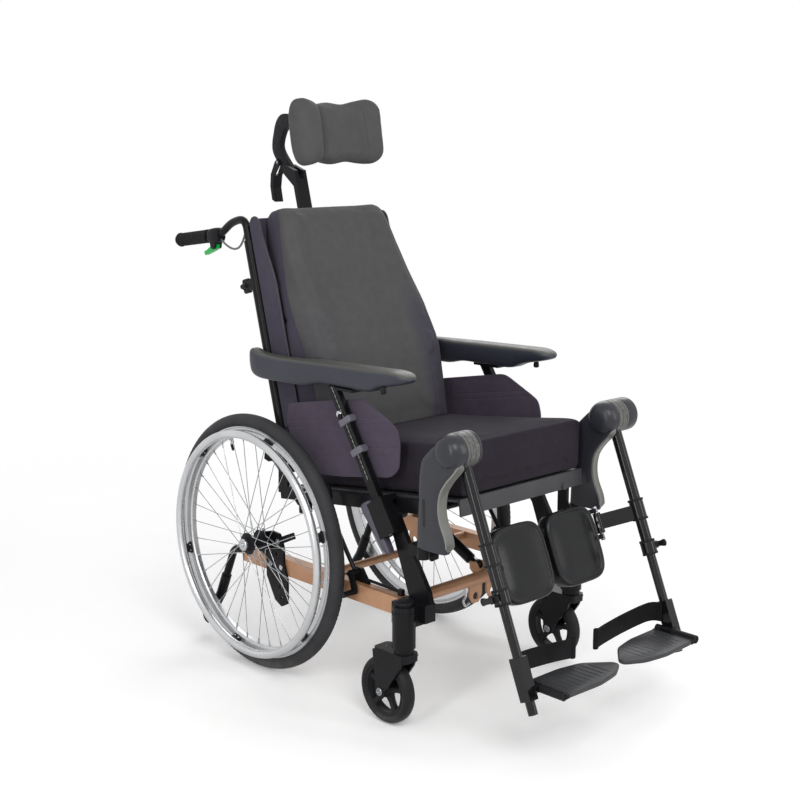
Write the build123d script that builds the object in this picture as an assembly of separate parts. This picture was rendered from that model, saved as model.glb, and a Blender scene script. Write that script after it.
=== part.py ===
from build123d import *
from math import atan2, cos, degrees, hypot, radians, sin
import os

# Tilt-in-space wheelchair with reclining back, headrest and elevating legrests.
# Millimetres, +Z up, front towards -Y, the sitter's left towards +X.
# The model is drawn with y = 0 at the rear axle and z = 0 on the floor, then moved along y
# so that the origin lies on the floor at the middle of the bounding box.

# ------------------------------------------------------------------ driving dimensions, mm
# Fits between pieces
pin_fit = 0.06              # radial play of a pin in its bore
face_gap = 0.4              # gap between flat faces that move past each other

# Rear wheels
wheel_radius = 305.0        # 24 inch tyre, outside
tyre_half_section = 17.0
wheel_x = 274.8             # centre plane of a rear wheel
rim_width = 24.0
rim_depth = 25.0
axle_radius = 6.0
axle_end_x = 313.0
hub_inner_x = 262.0
hub_outer_x = 320.0
hub_radius = 17.0
flange_radius = 26.0
flange_width = 3.0
spoke_count = 36
spoke_radius = 1.0
spoke_cross_angle = 55.0    # how far a spoke runs round between hub and rim
handrim_x = 310.0
handrim_radius = 262.0
handrim_tube = 9.5
handrim_tabs = 6
handrim_tab_width = 26.0

# Castors
castor_radius = 75.0
castor_width = 30.0
castor_x = 277.0
castor_stem_y = -503.0
castor_trail = 50.0
castor_spokes = 5
castor_rim_radius = 58.0
castor_hub_radius = 15.0
castor_axle_radius = 5.0
fork_leg_gap = 3.5
fork_leg_thickness = 5.5
fork_crown_thickness = 18.0
fork_crown_gap = 4.0        # tyre to crown
stem_radius = 8.0
stem_length = 70.0
housing_radius = 25.0
housing_bottom_z = 183.0
housing_top_z = 276.0
housing_ring_z = 258.0

# Side rails and crossbars
rail_inner_x = 222.0
rail_width = 25.0
rail_bottom_z = 232.0
rail_height = 40.0
rail_front_y = -465.0
rail_rear_y = 87.0
rail_wall = 2.0
front_bar_y = -475.0
front_bar_z = 270.0
front_bar_radius = 14.0
rear_bar_y = -200.0
rear_bar_z = 262.0
rear_bar_radius = 9.5
tie_plate_thickness = 5.0
tie_eye_radius = 9.0
tie_front_x = 28.0
tie_rear_y = -14.0

# Front struts and tilt hinge
strut_inner_x = 219.0
strut_thickness = 12.0
tilt_y = -415.0
tilt_z = 450.0
tilt_pin_radius = 6.0
strut_head_radius = 20.0
tilt_boss_radius = 17.0

# Axle plates, wheel locks, anti-tippers
axle_plate_thickness = 6.0
lock_tyre_gap = 5.0         # from the tyre's front to the lock's pin, along y
lock_y = -(wheel_radius + lock_tyre_gap)
lock_z = 294.0
lock_lever_x = 238.0
lock_pin_radius = 4.0
lock_shoe_radius = 7.0
lock_shoe_y = lock_y - 12.0
lock_shoe_z = 256.0
lock_rod_radius = 5.0
tipper_radius = 9.5
tipper_insert = 55.0
tipper_roller_radius = 22.0
tipper_roller_y = 248.0
tipper_roller_z = 52.0

# Seat
seat_slope = 6.75           # degrees, front edge up
seat_plane_z = 485.6        # underside of the cushion above the tilt hinge
seat_rail_outer_x = 218.0
seat_rail_width = 22.0
seat_rail_height = 30.0
seat_pan_thickness = 5.0
seat_pan_half_width = 203.0
seat_cushion_half_width = 202.0
seat_cushion_front_y = -590.0
cushion_top_z = 624.0       # top of the cushion at its front edge
cushion_crown = 8.0         # rise of the top's middle
cushion_block_z = 420.0     # bottom and length of the block that the cushion is cut from
cushion_block_length = 600.0
cushion_top_slope = 0.119
cushion_step_y = -194.0     # where the top drops to pass under the back cushion
cushion_step_z = 572.0
cushion_rear_y = -110.0
cushion_rear_top_z = 548.0
cushion_rear_low_z = 449.5
cushion_front_low_z = 507.0
seat_cross_radius = 10.0
apron_thickness = 4.0

# Tilt and recline struts: (y, z) of the two eyes, and their place across the chair
tilt_strut_x = 0.0
tilt_strut_low = (-452.0, 292.0)
tilt_strut_high = (-215.0, 415.0)
tilt_strut_body_radius = 13.0
tilt_strut_rod_radius = 5.0
tilt_strut_body_length = 150.0
tilt_strut_rod_length = 200.0
recline_strut_x = -150.0
recline_strut_low = (-32.0, 367.0)
recline_strut_high = (98.0, 475.0)
recline_strut_body_radius = 11.0
recline_strut_rod_radius = 4.0
recline_strut_body_length = 100.0
recline_strut_rod_length = 94.0
strut_pin_radius = 4.5
strut_eye_radius = 10.5
strut_eye_half_width = 8.6
strut_neck = 21.0           # from the lower eye to the cylinder's full width
strut_open_play = 1.9       # play of the upper eye, which is the open pivot of the linkage
ear_thickness = 4.0

# Arms
arm_lean = 31.8             # degrees from upright, leaning back
arm_y = -387.0
arm_z = 478.0
arm_x = 243.0
arm_post_width = 14.0
arm_post_depth = 24.0
arm_post_low = -68.0        # along the post, from the point above
arm_post_top = 275.0
arm_socket_low = -84.0
arm_socket_top = -2.0
arm_socket_outer_x = 262.0
arm_slot_play = 0.3
panel_inner_x = 226.0
panel_thickness = 4.0
pad_inner_x = 199.0
pad_outer_x = 255.5
pad_rear_inner_x = 216.0
pad_carrier_z = 700.0
pad_carrier_thickness = 6.0
pad_key_width = 10.0
pad_key_height = 8.0

# Legs
leg_lean = 22.0             # degrees from upright, foot forward
knee_y = -633.0
knee_z = 627.0
knee_radius = 38.0
knee_pin_radius = 8.0
leg_x = 244.0
knee_ring_half_width = 17.5
upper_tube_radius = 12.5
upper_tube_end = 318.0      # distances down the leg from the knee
lower_tube_radius = 10.0
lower_tube_start = 210.0
leg_collar_start = 286.0
leg_collar_radius = 17.0
hanger_pivot_y = -558.0
hanger_rear_gap = 12.0      # from the upright pin's axis to the arm's rear face
hanger_pin_radius = 6.0
hanger_bottom_z = 414.0
hanger_socket_radius = 13.0
hanger_socket_z = 390.0
calf_rod_x = 183.0
calf_rod_back = 68.0        # behind the leg's centre line
calf_rod_radius = 5.0
calf_pad_inner_x = 6.0
calf_pad_outer_x = 166.0
calf_pad_low = -338.0
calf_pad_high = -172.0
calf_pad_front = 58.0
calf_pad_rear = 92.0
foot_hinge_x = 222.0
foot_hinge_z = 176.0
foot_reach = (knee_z - foot_hinge_z) / cos(radians(leg_lean))   # knee to foot hinge, down the leg
lower_tube_end = foot_reach + 53.6
foot_hinge_radius = 9.0
foot_pin_radius = 4.5
foot_block_half = 12.0      # fitting at the foot, across and along the leg
foot_block_start = foot_reach - 62.4
foot_block_end = foot_reach + 25.6
foot_plate_thickness = 9.0
foot_plate_inner_x = 7.0
heel_strap_thickness = 3.0
heel_strap_height = 44.0
heel_strap_drop = 6.0       # degrees that the strap falls towards the middle

# Back
back_lean = 14.4            # degrees from upright
recline_y = -32.0
recline_z = 480.0
recline_pin_radius = 6.0
post_x = 200.0
post_radius = 12.5
post_low = -15.0            # distances up the back from the recline hinge
post_high = 540.0
back_cross_low = 25.0
back_cross_high = 500.0
back_cross_radius = 9.0
back_panel_front = 19.0     # forward of the post axis
back_panel_thickness = 6.0
back_panel_half_width = 206.0
back_flap_front = 75.0
back_flap_thickness = 6.0
back_flap_low = 90.0
back_flap_high = 590.0
handle_radius = 9.5
handle_low = 330.0
knob_height = 437.0
knob_collar_radius = 17.0
knob_screw_radius = 4.0
grip_radius = 17.0
trigger_y = 232.0
trigger_z = 983.0
trigger_pin_radius = 3.0
trigger_half_width = 5.0

# Headrest
head_bar_width = 36.0
head_bar_depth = 14.0
head_bar_back = 16.0        # behind the post axis
head_bar_low = 400.0
head_bar_high = 700.0
head_arm_pin_radius = 5.0
head_arm_thickness = 16.0
head_pad_half_width = 125.0
head_pad_height = 168.0
head_pad_centre = 753.0


# ------------------------------------------------------------------ helpers
def block(x0, x1, y0, y1, z0, z1):
    """A box between two corners."""
    size = (abs(x1 - x0), abs(y1 - y0), abs(z1 - z0))
    return Pos((x0 + x1) / 2, (y0 + y1) / 2, (z0 + z1) / 2) * Box(*size)


def rod(start, end, radius):
    """A round bar from one point to another."""
    axis = Vector(*end) - Vector(*start)
    bar = Cylinder(radius, axis.length, align=(Align.CENTER, Align.CENTER, Align.MIN))
    return Plane(origin=start, z_dir=axis) * bar


def disc(x0, x1, y, z, radius):
    """A round bar along x."""
    return rod((min(x0, x1), y, z), (max(x0, x1), y, z), radius)


def side_plate(outline, x0, x1, corner=0.0):
    """A plate with its outline in (y, z), between two x values."""
    face = make_face(Polyline(*outline, close=True))
    if corner:
        face = fillet(face.vertices(), corner)
    return Plane.YZ.offset(min(x0, x1)) * extrude(face, abs(x1 - x0))


def level_plate(outline, z0, z1, corner=0.0):
    """A plate with its outline in (x, y), between two z values."""
    face = make_face(Polyline(*outline, close=True))
    if corner:
        face = fillet(face.vertices(), corner)
    return Plane.XY.offset(z0) * extrude(face, z1 - z0)


def bent_rod(points, bend, radius):
    """A round bar along straight runs joined by arcs."""
    path = FilletPolyline(*points, radius=bend)
    section = Plane(origin=path @ 0, z_dir=path % 0) * Circle(radius)
    return sweep(section, path)


def mirrored(shape):
    """The same piece on the other side of the chair."""
    return mirror(shape, about=Plane.YZ)


def pair(left_pieces):
    """The pieces of the left side and of the right side, in one list."""
    return list(left_pieces) + [mirrored(piece) for piece in left_pieces]


# Frames of the leaning parts: local z runs up the part, local y towards the rear
seat_frame_place = Pos(0, tilt_y, seat_plane_z) * Rot(-seat_slope, 0, 0)
back_place = Pos(0, recline_y, recline_z) * Rot(-back_lean, 0, 0)
arm_place = Pos(0, arm_y, arm_z) * Rot(-arm_lean, 0, 0)
leg_place = Pos(0, knee_y, knee_z) * Rot(-leg_lean, 0, 0)
rail_outer_x = rail_inner_x + rail_width
rail_top_z = rail_bottom_z + rail_height
rim_radius = wheel_radius - tyre_half_section - (tyre_half_section**2 - (rim_width / 2)**2)**0.5
castor_wheel_y = castor_stem_y + castor_trail


# ------------------------------------------------------------------ rear wheels
def rear_tyre():
    ring = Torus(wheel_radius - tyre_half_section, tyre_half_section)
    bed = Cylinder(rim_radius, 4 * tyre_half_section)
    return Pos(wheel_x, 0, wheel_radius) * Rot(0, 90, 0) * (ring - bed)


def rear_rim():
    ring = Cylinder(rim_radius, rim_width) - Cylinder(rim_radius - rim_depth, rim_width)
    inner_edges = ring.edges().filter_by(GeomType.CIRCLE).sort_by(SortBy.RADIUS)[:2]
    ring = fillet(inner_edges, rim_width / 4)
    return Pos(wheel_x, 0, wheel_radius) * Rot(0, 90, 0) * ring


def spoked_hub():
    """Hub with two flanges, outer cap and crossed spokes."""
    outer_flange_x = hub_outer_x - 21
    hub = disc(hub_inner_x, axle_end_x, 0, wheel_radius, hub_radius)
    hub += disc(axle_end_x, hub_outer_x, 0, wheel_radius, hub_radius - 3)
    for x in (hub_inner_x, outer_flange_x):
        hub += disc(x, x + flange_width, 0, wheel_radius, flange_radius)
    spokes = []
    for number in range(spoke_count):
        x = (hub_inner_x if number % 2 else outer_flange_x) + flange_width / 2
        rim_angle = 360 / spoke_count * number
        lead = spoke_cross_angle if number % 4 < 2 else -spoke_cross_angle
        start = polar(x, flange_radius - 2.5, rim_angle + lead)
        end = polar(wheel_x, rim_radius - rim_depth, rim_angle)
        spokes.append(rod(start, end, spoke_radius))
    hub = hub + spokes
    return hub - disc(hub_inner_x - 1, axle_end_x + face_gap, 0, wheel_radius, axle_radius + pin_fit)


def polar(x, radius, angle):
    """A point round the rear axle."""
    return (x, radius * cos(radians(angle)), wheel_radius + radius * sin(radians(angle)))


def handrim():
    """Round handrim and the tabs that hold it to the rim."""
    place = Pos(handrim_x, 0, wheel_radius) * Rot(0, 90, 0)
    ring = place * Torus(handrim_radius, handrim_tube)
    pieces = [ring]
    rim_face_x = wheel_x + rim_width / 2
    for number in range(handrim_tabs):
        tab = block(rim_face_x, handrim_x - 4, -handrim_tab_width / 2, handrim_tab_width / 2,
                    handrim_radius - 5, handrim_radius + 5)
        tab = Pos(0, 0, wheel_radius) * Rot(360 / handrim_tabs * number + 15, 0, 0) * tab
        pieces.append(tab - ring)
    return pieces


# ------------------------------------------------------------------ castors
def castor_fork():
    """Stem, crown, two legs and the wheel's axle."""
    leg_inner = castor_width / 2 + fork_leg_gap
    leg_outer = leg_inner + fork_leg_thickness
    crown_z = 2 * castor_radius + fork_crown_gap
    crown_top = crown_z + fork_crown_thickness
    front, rear = castor_stem_y - 24, castor_wheel_y + 23
    fork = block(castor_x - leg_outer, castor_x + leg_outer, front, rear, crown_z, crown_top)
    fork = fillet(fork.edges().filter_by(Axis.Z), 12)
    leg = [(front + 4, crown_top - 6), (rear, crown_top - 6), (castor_wheel_y + 13, castor_radius),
           (castor_wheel_y - 13, castor_radius), (castor_stem_y - 8, crown_z - 16)]
    for x in (castor_x - leg_outer, castor_x + leg_inner):
        fork += side_plate(leg, x, x + fork_leg_thickness)
        fork += disc(x, x + fork_leg_thickness, castor_wheel_y, castor_radius, 15)
    fork += rod((castor_x, castor_stem_y, crown_z + 4),
                (castor_x, castor_stem_y, housing_bottom_z - face_gap), housing_radius - 4)
    fork += rod((castor_x, castor_stem_y, crown_z + 4),
                (castor_x, castor_stem_y, housing_bottom_z + stem_length), stem_radius)
    fork += disc(castor_x - leg_outer, castor_x + leg_outer, castor_wheel_y, castor_radius,
                 castor_axle_radius)
    return fork


def castor_wheel():
    """Tyre and five-spoke wheel."""
    place = Pos(castor_x, castor_wheel_y, castor_radius) * Rot(0, 90, 0)
    tyre = Cylinder(castor_radius, castor_width) - Cylinder(castor_rim_radius, castor_width)
    rims = tyre.edges().filter_by(GeomType.CIRCLE).sort_by(SortBy.RADIUS)[-2:]
    tyre = fillet(rims, castor_width / 3)
    wheel = Cylinder(castor_rim_radius, castor_width - 4)
    wheel -= Cylinder(castor_rim_radius - 8, castor_width)
    wheel += Cylinder(castor_hub_radius, castor_width + 2 * fork_leg_gap - 2)
    for number in range(castor_spokes):
        spoke = block(castor_hub_radius - 3, castor_rim_radius - 6, -7, 7, -8, 8)
        wheel += Rot(0, 0, 360 / castor_spokes * number) * spoke
    wheel -= Cylinder(castor_axle_radius + pin_fit, 3 * castor_width)
    return [place * tyre, place * wheel]


def castor_housing():
    """Casting that joins the side rail, the front crossbar and the castor's bearing."""
    body = block(strut_inner_x, castor_x, rail_front_y, castor_stem_y - 20, rail_bottom_z - 3,
                 housing_top_z)
    body += rod((castor_x, castor_stem_y, housing_bottom_z), (castor_x, castor_stem_y, housing_top_z),
                housing_radius)
    body += rod((castor_x, castor_stem_y, housing_ring_z), (castor_x, castor_stem_y, housing_ring_z + 5),
                housing_radius + 1.5)
    body += rod((castor_x, castor_stem_y, housing_top_z), (castor_x, castor_stem_y, housing_top_z + 6),
                housing_radius - 6)
    body += block(strut_inner_x, rail_outer_x + 3, rail_front_y, castor_stem_y - 36,
                  rail_bottom_z + 4, housing_top_z)
    depth = housing_bottom_z + stem_length + face_gap
    return body - rod((castor_x, castor_stem_y, 0), (castor_x, castor_stem_y, depth),
                      stem_radius + pin_fit)


# ------------------------------------------------------------------ chassis
def side_rail():
    outer = block(rail_inner_x, rail_outer_x, rail_front_y, rail_rear_y, rail_bottom_z, rail_top_z)
    inner = block(rail_inner_x + rail_wall, rail_outer_x - rail_wall, rail_front_y + 2,
                  rail_rear_y, rail_bottom_z + rail_wall, rail_top_z - rail_wall)
    return outer - inner


def rear_socket():
    """Plug in the rail's rear end that holds the anti-tipper tube."""
    plug = block(rail_inner_x + rail_wall, rail_outer_x - rail_wall, rail_rear_y - tipper_insert - 5,
                 rail_rear_y, rail_bottom_z + rail_wall, rail_top_z - rail_wall)
    plug += block(rail_inner_x, rail_outer_x, rail_rear_y, rail_rear_y + 5, rail_bottom_z, rail_top_z)
    middle_x, middle_z = rail_inner_x + rail_width / 2, rail_bottom_z + rail_height / 2
    return plug - rod((middle_x, rail_rear_y - tipper_insert - 3, middle_z),
                      (middle_x, rail_rear_y + 10, middle_z), tipper_radius + pin_fit)


def crossbars():
    """Front crossbar with its tie-down plates and strut ears, rear crossbar, rear tie-down plates."""
    half = strut_inner_x
    bar = disc(-half, half, front_bar_y, front_bar_z, front_bar_radius)
    tab_bottom = front_bar_z - 55
    for side in (-1, 1):
        x = side * tie_front_x
        outline = [(x - 20, front_bar_z), (x + 20, front_bar_z), (x + 20, tab_bottom + 18),
                   (x + 9, tab_bottom), (x - 9, tab_bottom), (x - 20, tab_bottom + 18)]
        face = make_face(Polyline(*outline, close=True))
        tab = Plane.XZ.offset(-front_bar_y - tie_plate_thickness / 2) * extrude(face, tie_plate_thickness)
        eye = rod((x, front_bar_y - 9, tab_bottom + 16), (x, front_bar_y + 9, tab_bottom + 16),
                  tie_eye_radius)
        bar = bar + tab - eye
    low_y, low_z = tilt_strut_low
    ear = [(front_bar_y - 6, front_bar_z + 6), (front_bar_y + 6, front_bar_z - 8), (low_y + 9, low_z - 8),
           (low_y + 9, low_z + 9), (low_y - 9, low_z + 10)]
    bar += strut_ears(ear, tilt_strut_x, low_y, low_z)
    rear = disc(-rail_inner_x, rail_inner_x, rear_bar_y, rear_bar_z, rear_bar_radius)
    return [bar, rear]


def strut_ears(outline, x, y, z):
    """Two cheeks and the pin between them."""
    inner = strut_eye_half_width + face_gap
    ears = disc(x - inner - ear_thickness, x + inner + ear_thickness, y, z, strut_pin_radius)
    for x0 in (x - inner - ear_thickness, x + inner):
        ears += side_plate(outline, x0, x0 + ear_thickness)
    return ears


def rear_tie_plate():
    bottom = rail_bottom_z - 42
    middle_x = rail_inner_x + rail_width / 2
    outline = [(tie_rear_y - 18, rail_bottom_z), (tie_rear_y + 18, rail_bottom_z),
               (tie_rear_y + 18, bottom + 14), (tie_rear_y + 8, bottom), (tie_rear_y - 8, bottom),
               (tie_rear_y - 18, bottom + 14)]
    x0 = middle_x - tie_plate_thickness / 2
    tab = side_plate(outline, x0, x0 + tie_plate_thickness)
    return tab - disc(x0 - 5, x0 + tie_plate_thickness + 5, tie_rear_y, bottom + 17, tie_eye_radius)


def front_strut():
    """Flat tube from the castor housing up to the tilt hinge, with the hinge pin."""
    outline = [(-535, housing_top_z), (-471, housing_top_z), (-424, 396), (-396, tilt_z),
               (tilt_y - strut_head_radius, tilt_z), (-466, 396), (-528, 300)]
    outer_x = strut_inner_x + strut_thickness
    strut = side_plate(outline, strut_inner_x, outer_x)
    strut += disc(strut_inner_x, outer_x, tilt_y, tilt_z, strut_head_radius)
    return strut + disc(seat_rail_outer_x - seat_rail_width, outer_x, tilt_y, tilt_z, tilt_pin_radius)


def axle_plate():
    """Plate with its row of holes that carries the rear axle on the side rail."""
    outline = [(-72, 300), (-58, 331), (-30, 333), (20, 320), (20, 288), (-8, 262), (-8, 220),
               (-38, 166), (-62, 154), (-84, 166), (-84, 225), (-72, 262)]
    x0, x1 = rail_outer_x, rail_outer_x + axle_plate_thickness
    plate = side_plate(outline, x0, x1, corner=7)
    for step in range(5):
        z = 176 + 26 * step
        y = -62 + 3.5 * step
        if not rail_bottom_z - 6 < z < rail_top_z + 6:
            plate -= disc(x0 - 1, x1 + 1, y, z, 4.5)
    plate += disc(x0 - 7, hub_inner_x - 1, 0, wheel_radius, 14)
    plate += side_plate([(-112, 330), (-60, 306), (-56, 322), (-106, 344)], x0, x1)
    return plate - disc(x0 - 8, hub_inner_x, 0, wheel_radius, axle_radius)


def lock_bracket():
    """Bracket on the rail with the wheel lock's pin, and the link bar along the rail."""
    inner = rail_inner_x + 3
    bracket = side_plate([(lock_y - 35, rail_top_z), (lock_y + 32, rail_top_z), (lock_y + 9, lock_z + 10),
                          (lock_y - 11, lock_z + 10)], inner, lock_lever_x - lock_rod_radius - face_gap)
    bracket += disc(inner, rail_outer_x + 12, lock_y, lock_z, lock_pin_radius)
    bracket += disc(rail_outer_x + 9 + face_gap, rail_outer_x + 12, lock_y, lock_z, lock_pin_radius + 3)
    link = rod((inner + 4, lock_y - 26, rail_top_z + 9), (inner + 4, -446, rail_top_z + 7), 3.5)
    foot = block(inner, inner + 10, -452, -440, rail_top_z, rail_top_z + 14)
    return bracket + link + foot


def tie_hook():
    """Chrome hook that hangs under the front crossbar."""
    x, y, top = tie_front_x + 30, front_bar_y, front_bar_z - front_bar_radius
    points = [(x, y, top - 1), (x, y, top - 20), (x + 9, y, top - 30), (x + 2, y, top - 44),
              (x - 12, y, top - 38)]
    hook = bent_rod(points, 4, 2.6) + rod((x, y, top + 1), (x, y, top - 8), 5)
    return hook - disc(x - 20, x + 20, front_bar_y, front_bar_z, front_bar_radius)


def axle_pin():
    return disc(rail_outer_x - 7, axle_end_x, 0, wheel_radius, axle_radius)


def screws():
    """Round-headed screws through the rail at the axle plate."""
    x = rail_outer_x + axle_plate_thickness
    return [disc(x, x + 3.5, y, rail_bottom_z + rail_height / 2, 6) for y in (-66, -26)]


def anti_tipper():
    """Bent tube in the rail's rear end, with sleeve and roller."""
    x = rail_inner_x + rail_width / 2
    z = rail_bottom_z + rail_height / 2
    points = [(x, rail_rear_y - tipper_insert, z), (x, 140, z), (x, 200, 120),
              (x, tipper_roller_y - 8, tipper_roller_z + 10)]
    tube = bent_rod(points, 30, tipper_radius)
    tube += rod((x, 176, 173), (x, 200, 120), tipper_radius + 3)
    tube += rod((x, 200, 120), (x, tipper_roller_y - 4, tipper_roller_z + 6), tipper_radius + 3)
    tube += disc(x - 10, x + 10, tipper_roller_y, tipper_roller_z, tipper_roller_radius)
    return tube


def wheel_lock():
    """Hand lever, lower arm and shoe of a wheel lock."""
    arm_x0, arm_x1 = rail_outer_x + 4.5, rail_outer_x + 9
    boss = disc(lock_lever_x - 4, arm_x1, lock_y, lock_z, 9)
    lever = bent_rod([(lock_lever_x, lock_y + 4, lock_z + 4), (lock_lever_x, lock_y + 30, lock_z + 39),
                      (lock_lever_x, lock_y + 74, lock_z + 104),
                      (lock_lever_x, lock_y + 91, lock_z + 168)], 18, lock_rod_radius)
    grip = rod((lock_lever_x, lock_y + 87, lock_z + 152), (lock_lever_x, lock_y + 95, lock_z + 182),
               lock_rod_radius + 2)
    lower = side_plate([(lock_y - 9, lock_z), (lock_y + 8, lock_z - 2), (lock_shoe_y + 8, lock_shoe_z),
                        (lock_shoe_y - 8, lock_shoe_z)], arm_x0, arm_x1)
    shoe = disc(arm_x0, wheel_x + 14, lock_shoe_y, lock_shoe_z, lock_shoe_radius)
    lock = boss + lever + grip + lower + shoe
    return lock - disc(0, arm_x1 + 9, lock_y, lock_z, lock_pin_radius + pin_fit)


# ------------------------------------------------------------------ struts
def strut_body(low, high, x, radius, rod_radius, length):
    """Cylinder with its lower eye, bored for the rod."""
    axis = strut_axis(low, high)
    start = (x, low[0], low[1])
    body = disc(x - strut_eye_half_width, x + strut_eye_half_width, low[0], low[1], strut_eye_radius)
    body += rod(along(start, axis, 6), along(start, axis, strut_neck), strut_eye_half_width - 1)
    body += rod(along(start, axis, strut_neck), along(start, axis, length), radius)
    body -= disc(x - 20, x + 20, low[0], low[1], strut_pin_radius + pin_fit)
    return body - rod(along(start, axis, strut_neck + 2), along(start, axis, length + 1),
                      rod_radius + pin_fit)


def strut_rod(low, high, x, radius, length):
    """Rod with its upper eye, which has play on its pin."""
    axis = strut_axis(high, low)
    start = (x, high[0], high[1])
    piece = disc(x - strut_eye_half_width, x + strut_eye_half_width, high[0], high[1], strut_eye_radius)
    piece += rod(along(start, axis, 7), along(start, axis, length), radius)
    return piece - disc(x - 20, x + 20, high[0], high[1], strut_pin_radius + strut_open_play)


def strut_axis(low, high):
    """Unit direction (y, z) from one eye to the other."""
    reach = hypot(high[0] - low[0], high[1] - low[1])
    return ((high[0] - low[0]) / reach, (high[1] - low[1]) / reach)


def along(start, axis, distance):
    return (start[0], start[1] + axis[0] * distance, start[2] + axis[1] * distance)


# ------------------------------------------------------------------ seat
def seat_frame():
    """Side tubes, cross tubes, arm sockets, legrest sockets, tilt bosses and recline plates."""
    inner_x = seat_rail_outer_x - seat_rail_width
    top, bottom = -seat_pan_thickness, -seat_pan_thickness - seat_rail_height
    tube = block(inner_x, seat_rail_outer_x, -124, 398, bottom, top)
    tube -= block(inner_x + 2, seat_rail_outer_x - 2, -122, 396, bottom + 2, top - 2)
    side = seat_frame_place * tube
    side += disc(inner_x, seat_rail_outer_x, tilt_y, tilt_z, tilt_boss_radius)
    plate_x = post_x + post_radius + face_gap
    side += side_plate([(recline_y - 16, 420), (recline_y + 18, 418), (recline_y + 16, recline_z + 6),
                        (recline_y, recline_z + 16), (recline_y - 16, recline_z + 6)],
                       plate_x, seat_rail_outer_x)
    side += disc(post_x - post_radius - 2, seat_rail_outer_x, recline_y, recline_z, recline_pin_radius)
    side += arm_socket()
    frame = side + mirrored(side)
    cross = -seat_pan_thickness - seat_rail_height / 2
    for y in (-108, 200, 385):
        frame += seat_frame_place * disc(-inner_x, inner_x, y, cross, seat_cross_radius)
    frame += legrest_socket(left_hanger) + legrest_socket(right_hanger)
    high_y, high_z = tilt_strut_high
    frame += strut_ears([(high_y - 16, high_z + 32), (high_y + 10, high_z + 30), (high_y + 9, high_z - 9),
                         (high_y - 9, high_z - 9)], tilt_strut_x, high_y, high_z)
    low_y, low_z = recline_strut_low
    frame += strut_ears([(low_y - 12, low_z + 54), (low_y + 10, low_z + 54), (low_y + 9, low_z - 9),
                         (low_y - 9, low_z - 9)], recline_strut_x, low_y, low_z)
    for x in (1, -1):
        hole = disc(x * (inner_x - 3), x * (seat_rail_outer_x + 0.2), tilt_y, tilt_z,
                    tilt_pin_radius + pin_fit)
        frame -= hole
    return frame


def arm_socket():
    """Socket that the arm post slides in, bridged over the front strut to the seat tube."""
    outer_face = strut_inner_x + strut_thickness + 1.5
    socket = block(outer_face, arm_socket_outer_x, -30, 20, arm_socket_low, arm_socket_top)
    socket += block(seat_rail_outer_x - 3, outer_face, -30, 20, -15, arm_socket_top)
    half_x = arm_post_width / 2 + arm_slot_play
    half_y = arm_post_depth / 2 + arm_slot_play
    slot = block(arm_x - half_x, arm_x + half_x, -half_y, half_y, arm_socket_low - 1, arm_socket_top + 1)
    return arm_place * (socket - slot)


def legrest_socket(hanger):
    """Drop plate and upright socket that a hanger's pin stands in."""
    side = 1 if hanger["pivot_x"] > 0 else -1
    inner, outer = side * (seat_rail_outer_x - 12), side * seat_rail_outer_x
    pivot_x = hanger["pivot_x"]
    top = hanger_bottom_z - face_gap
    piece = block(inner, outer, -538, -514, hanger_socket_z, 478)
    far_x = max(abs(pivot_x), seat_rail_outer_x)
    piece += block(inner, side * far_x, hanger_pivot_y - 4, -514, hanger_socket_z, top)
    piece += rod((pivot_x, hanger_pivot_y, hanger_socket_z), (pivot_x, hanger_pivot_y, top),
                 hanger_socket_radius)
    return piece - rod((pivot_x, hanger_pivot_y, hanger_socket_z + 2), (pivot_x, hanger_pivot_y, top + 1),
                       hanger_pin_radius + pin_fit)


def seat_pan():
    """Seat plate and the apron that hangs from its front edge."""
    front = -170
    pan = block(-seat_pan_half_width, seat_pan_half_width, front, 300, -seat_pan_thickness, 0)
    apron = block(-seat_pan_half_width + 4, seat_pan_half_width - 4, front - apron_thickness, front,
                  -36, 0)
    lever = rod((60, front + 30, -seat_pan_thickness), (60, front + 30, -34), 4)
    lever += rod((60, front + 30, -30), (133, front + 22, -30), 4)
    lever += rod((133, front + 22, -30), (133, front - 8, -30), 7)
    return [seat_frame_place * (pan + apron), seat_frame_place * lever]


def seat_cushion():
    """Crowned cushion with drawn-in sides; its rear slopes down under the back cushion."""
    half, top = seat_cushion_half_width, cushion_top_z
    section = make_face([
        Polyline((-half + 6, cushion_block_z), (half - 6, cushion_block_z)),
        ThreePointArc((half - 6, cushion_block_z), (half, top - 88), (half - 8, top - 22)),
        ThreePointArc((half - 8, top - 22), (half - 14, top - 6), (half - 34, top)),
        ThreePointArc((half - 34, top), (0, top + cushion_crown), (-half + 34, top)),
        ThreePointArc((-half + 34, top), (-half + 14, top - 6), (-half + 8, top - 22)),
        ThreePointArc((-half + 8, top - 22), (-half, top - 88), (-half + 6, cushion_block_z)),
    ])
    body = Plane.XZ.offset(-cushion_rear_y - 10) * extrude(section, cushion_block_length)
    # the block is tilted so that its top follows the seat, then cut by the side outline
    front, lift = seat_cushion_front_y, 4.0
    tilt = Pos(0, front, top + lift) * Rot(-degrees(atan2(cushion_top_slope, 1)), 0, 0) * Pos(0, -front, -top)
    above = top + 22
    outline = [(front + 4, cushion_front_low_z), (front, top - 58), (front + 3, above),
               (cushion_step_y, above), (cushion_step_y, cushion_step_z),
               (cushion_rear_y, cushion_rear_top_z), (cushion_rear_y, cushion_rear_low_z)]
    return (tilt * body) & side_plate(outline, -half - 5, half + 5)


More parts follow.
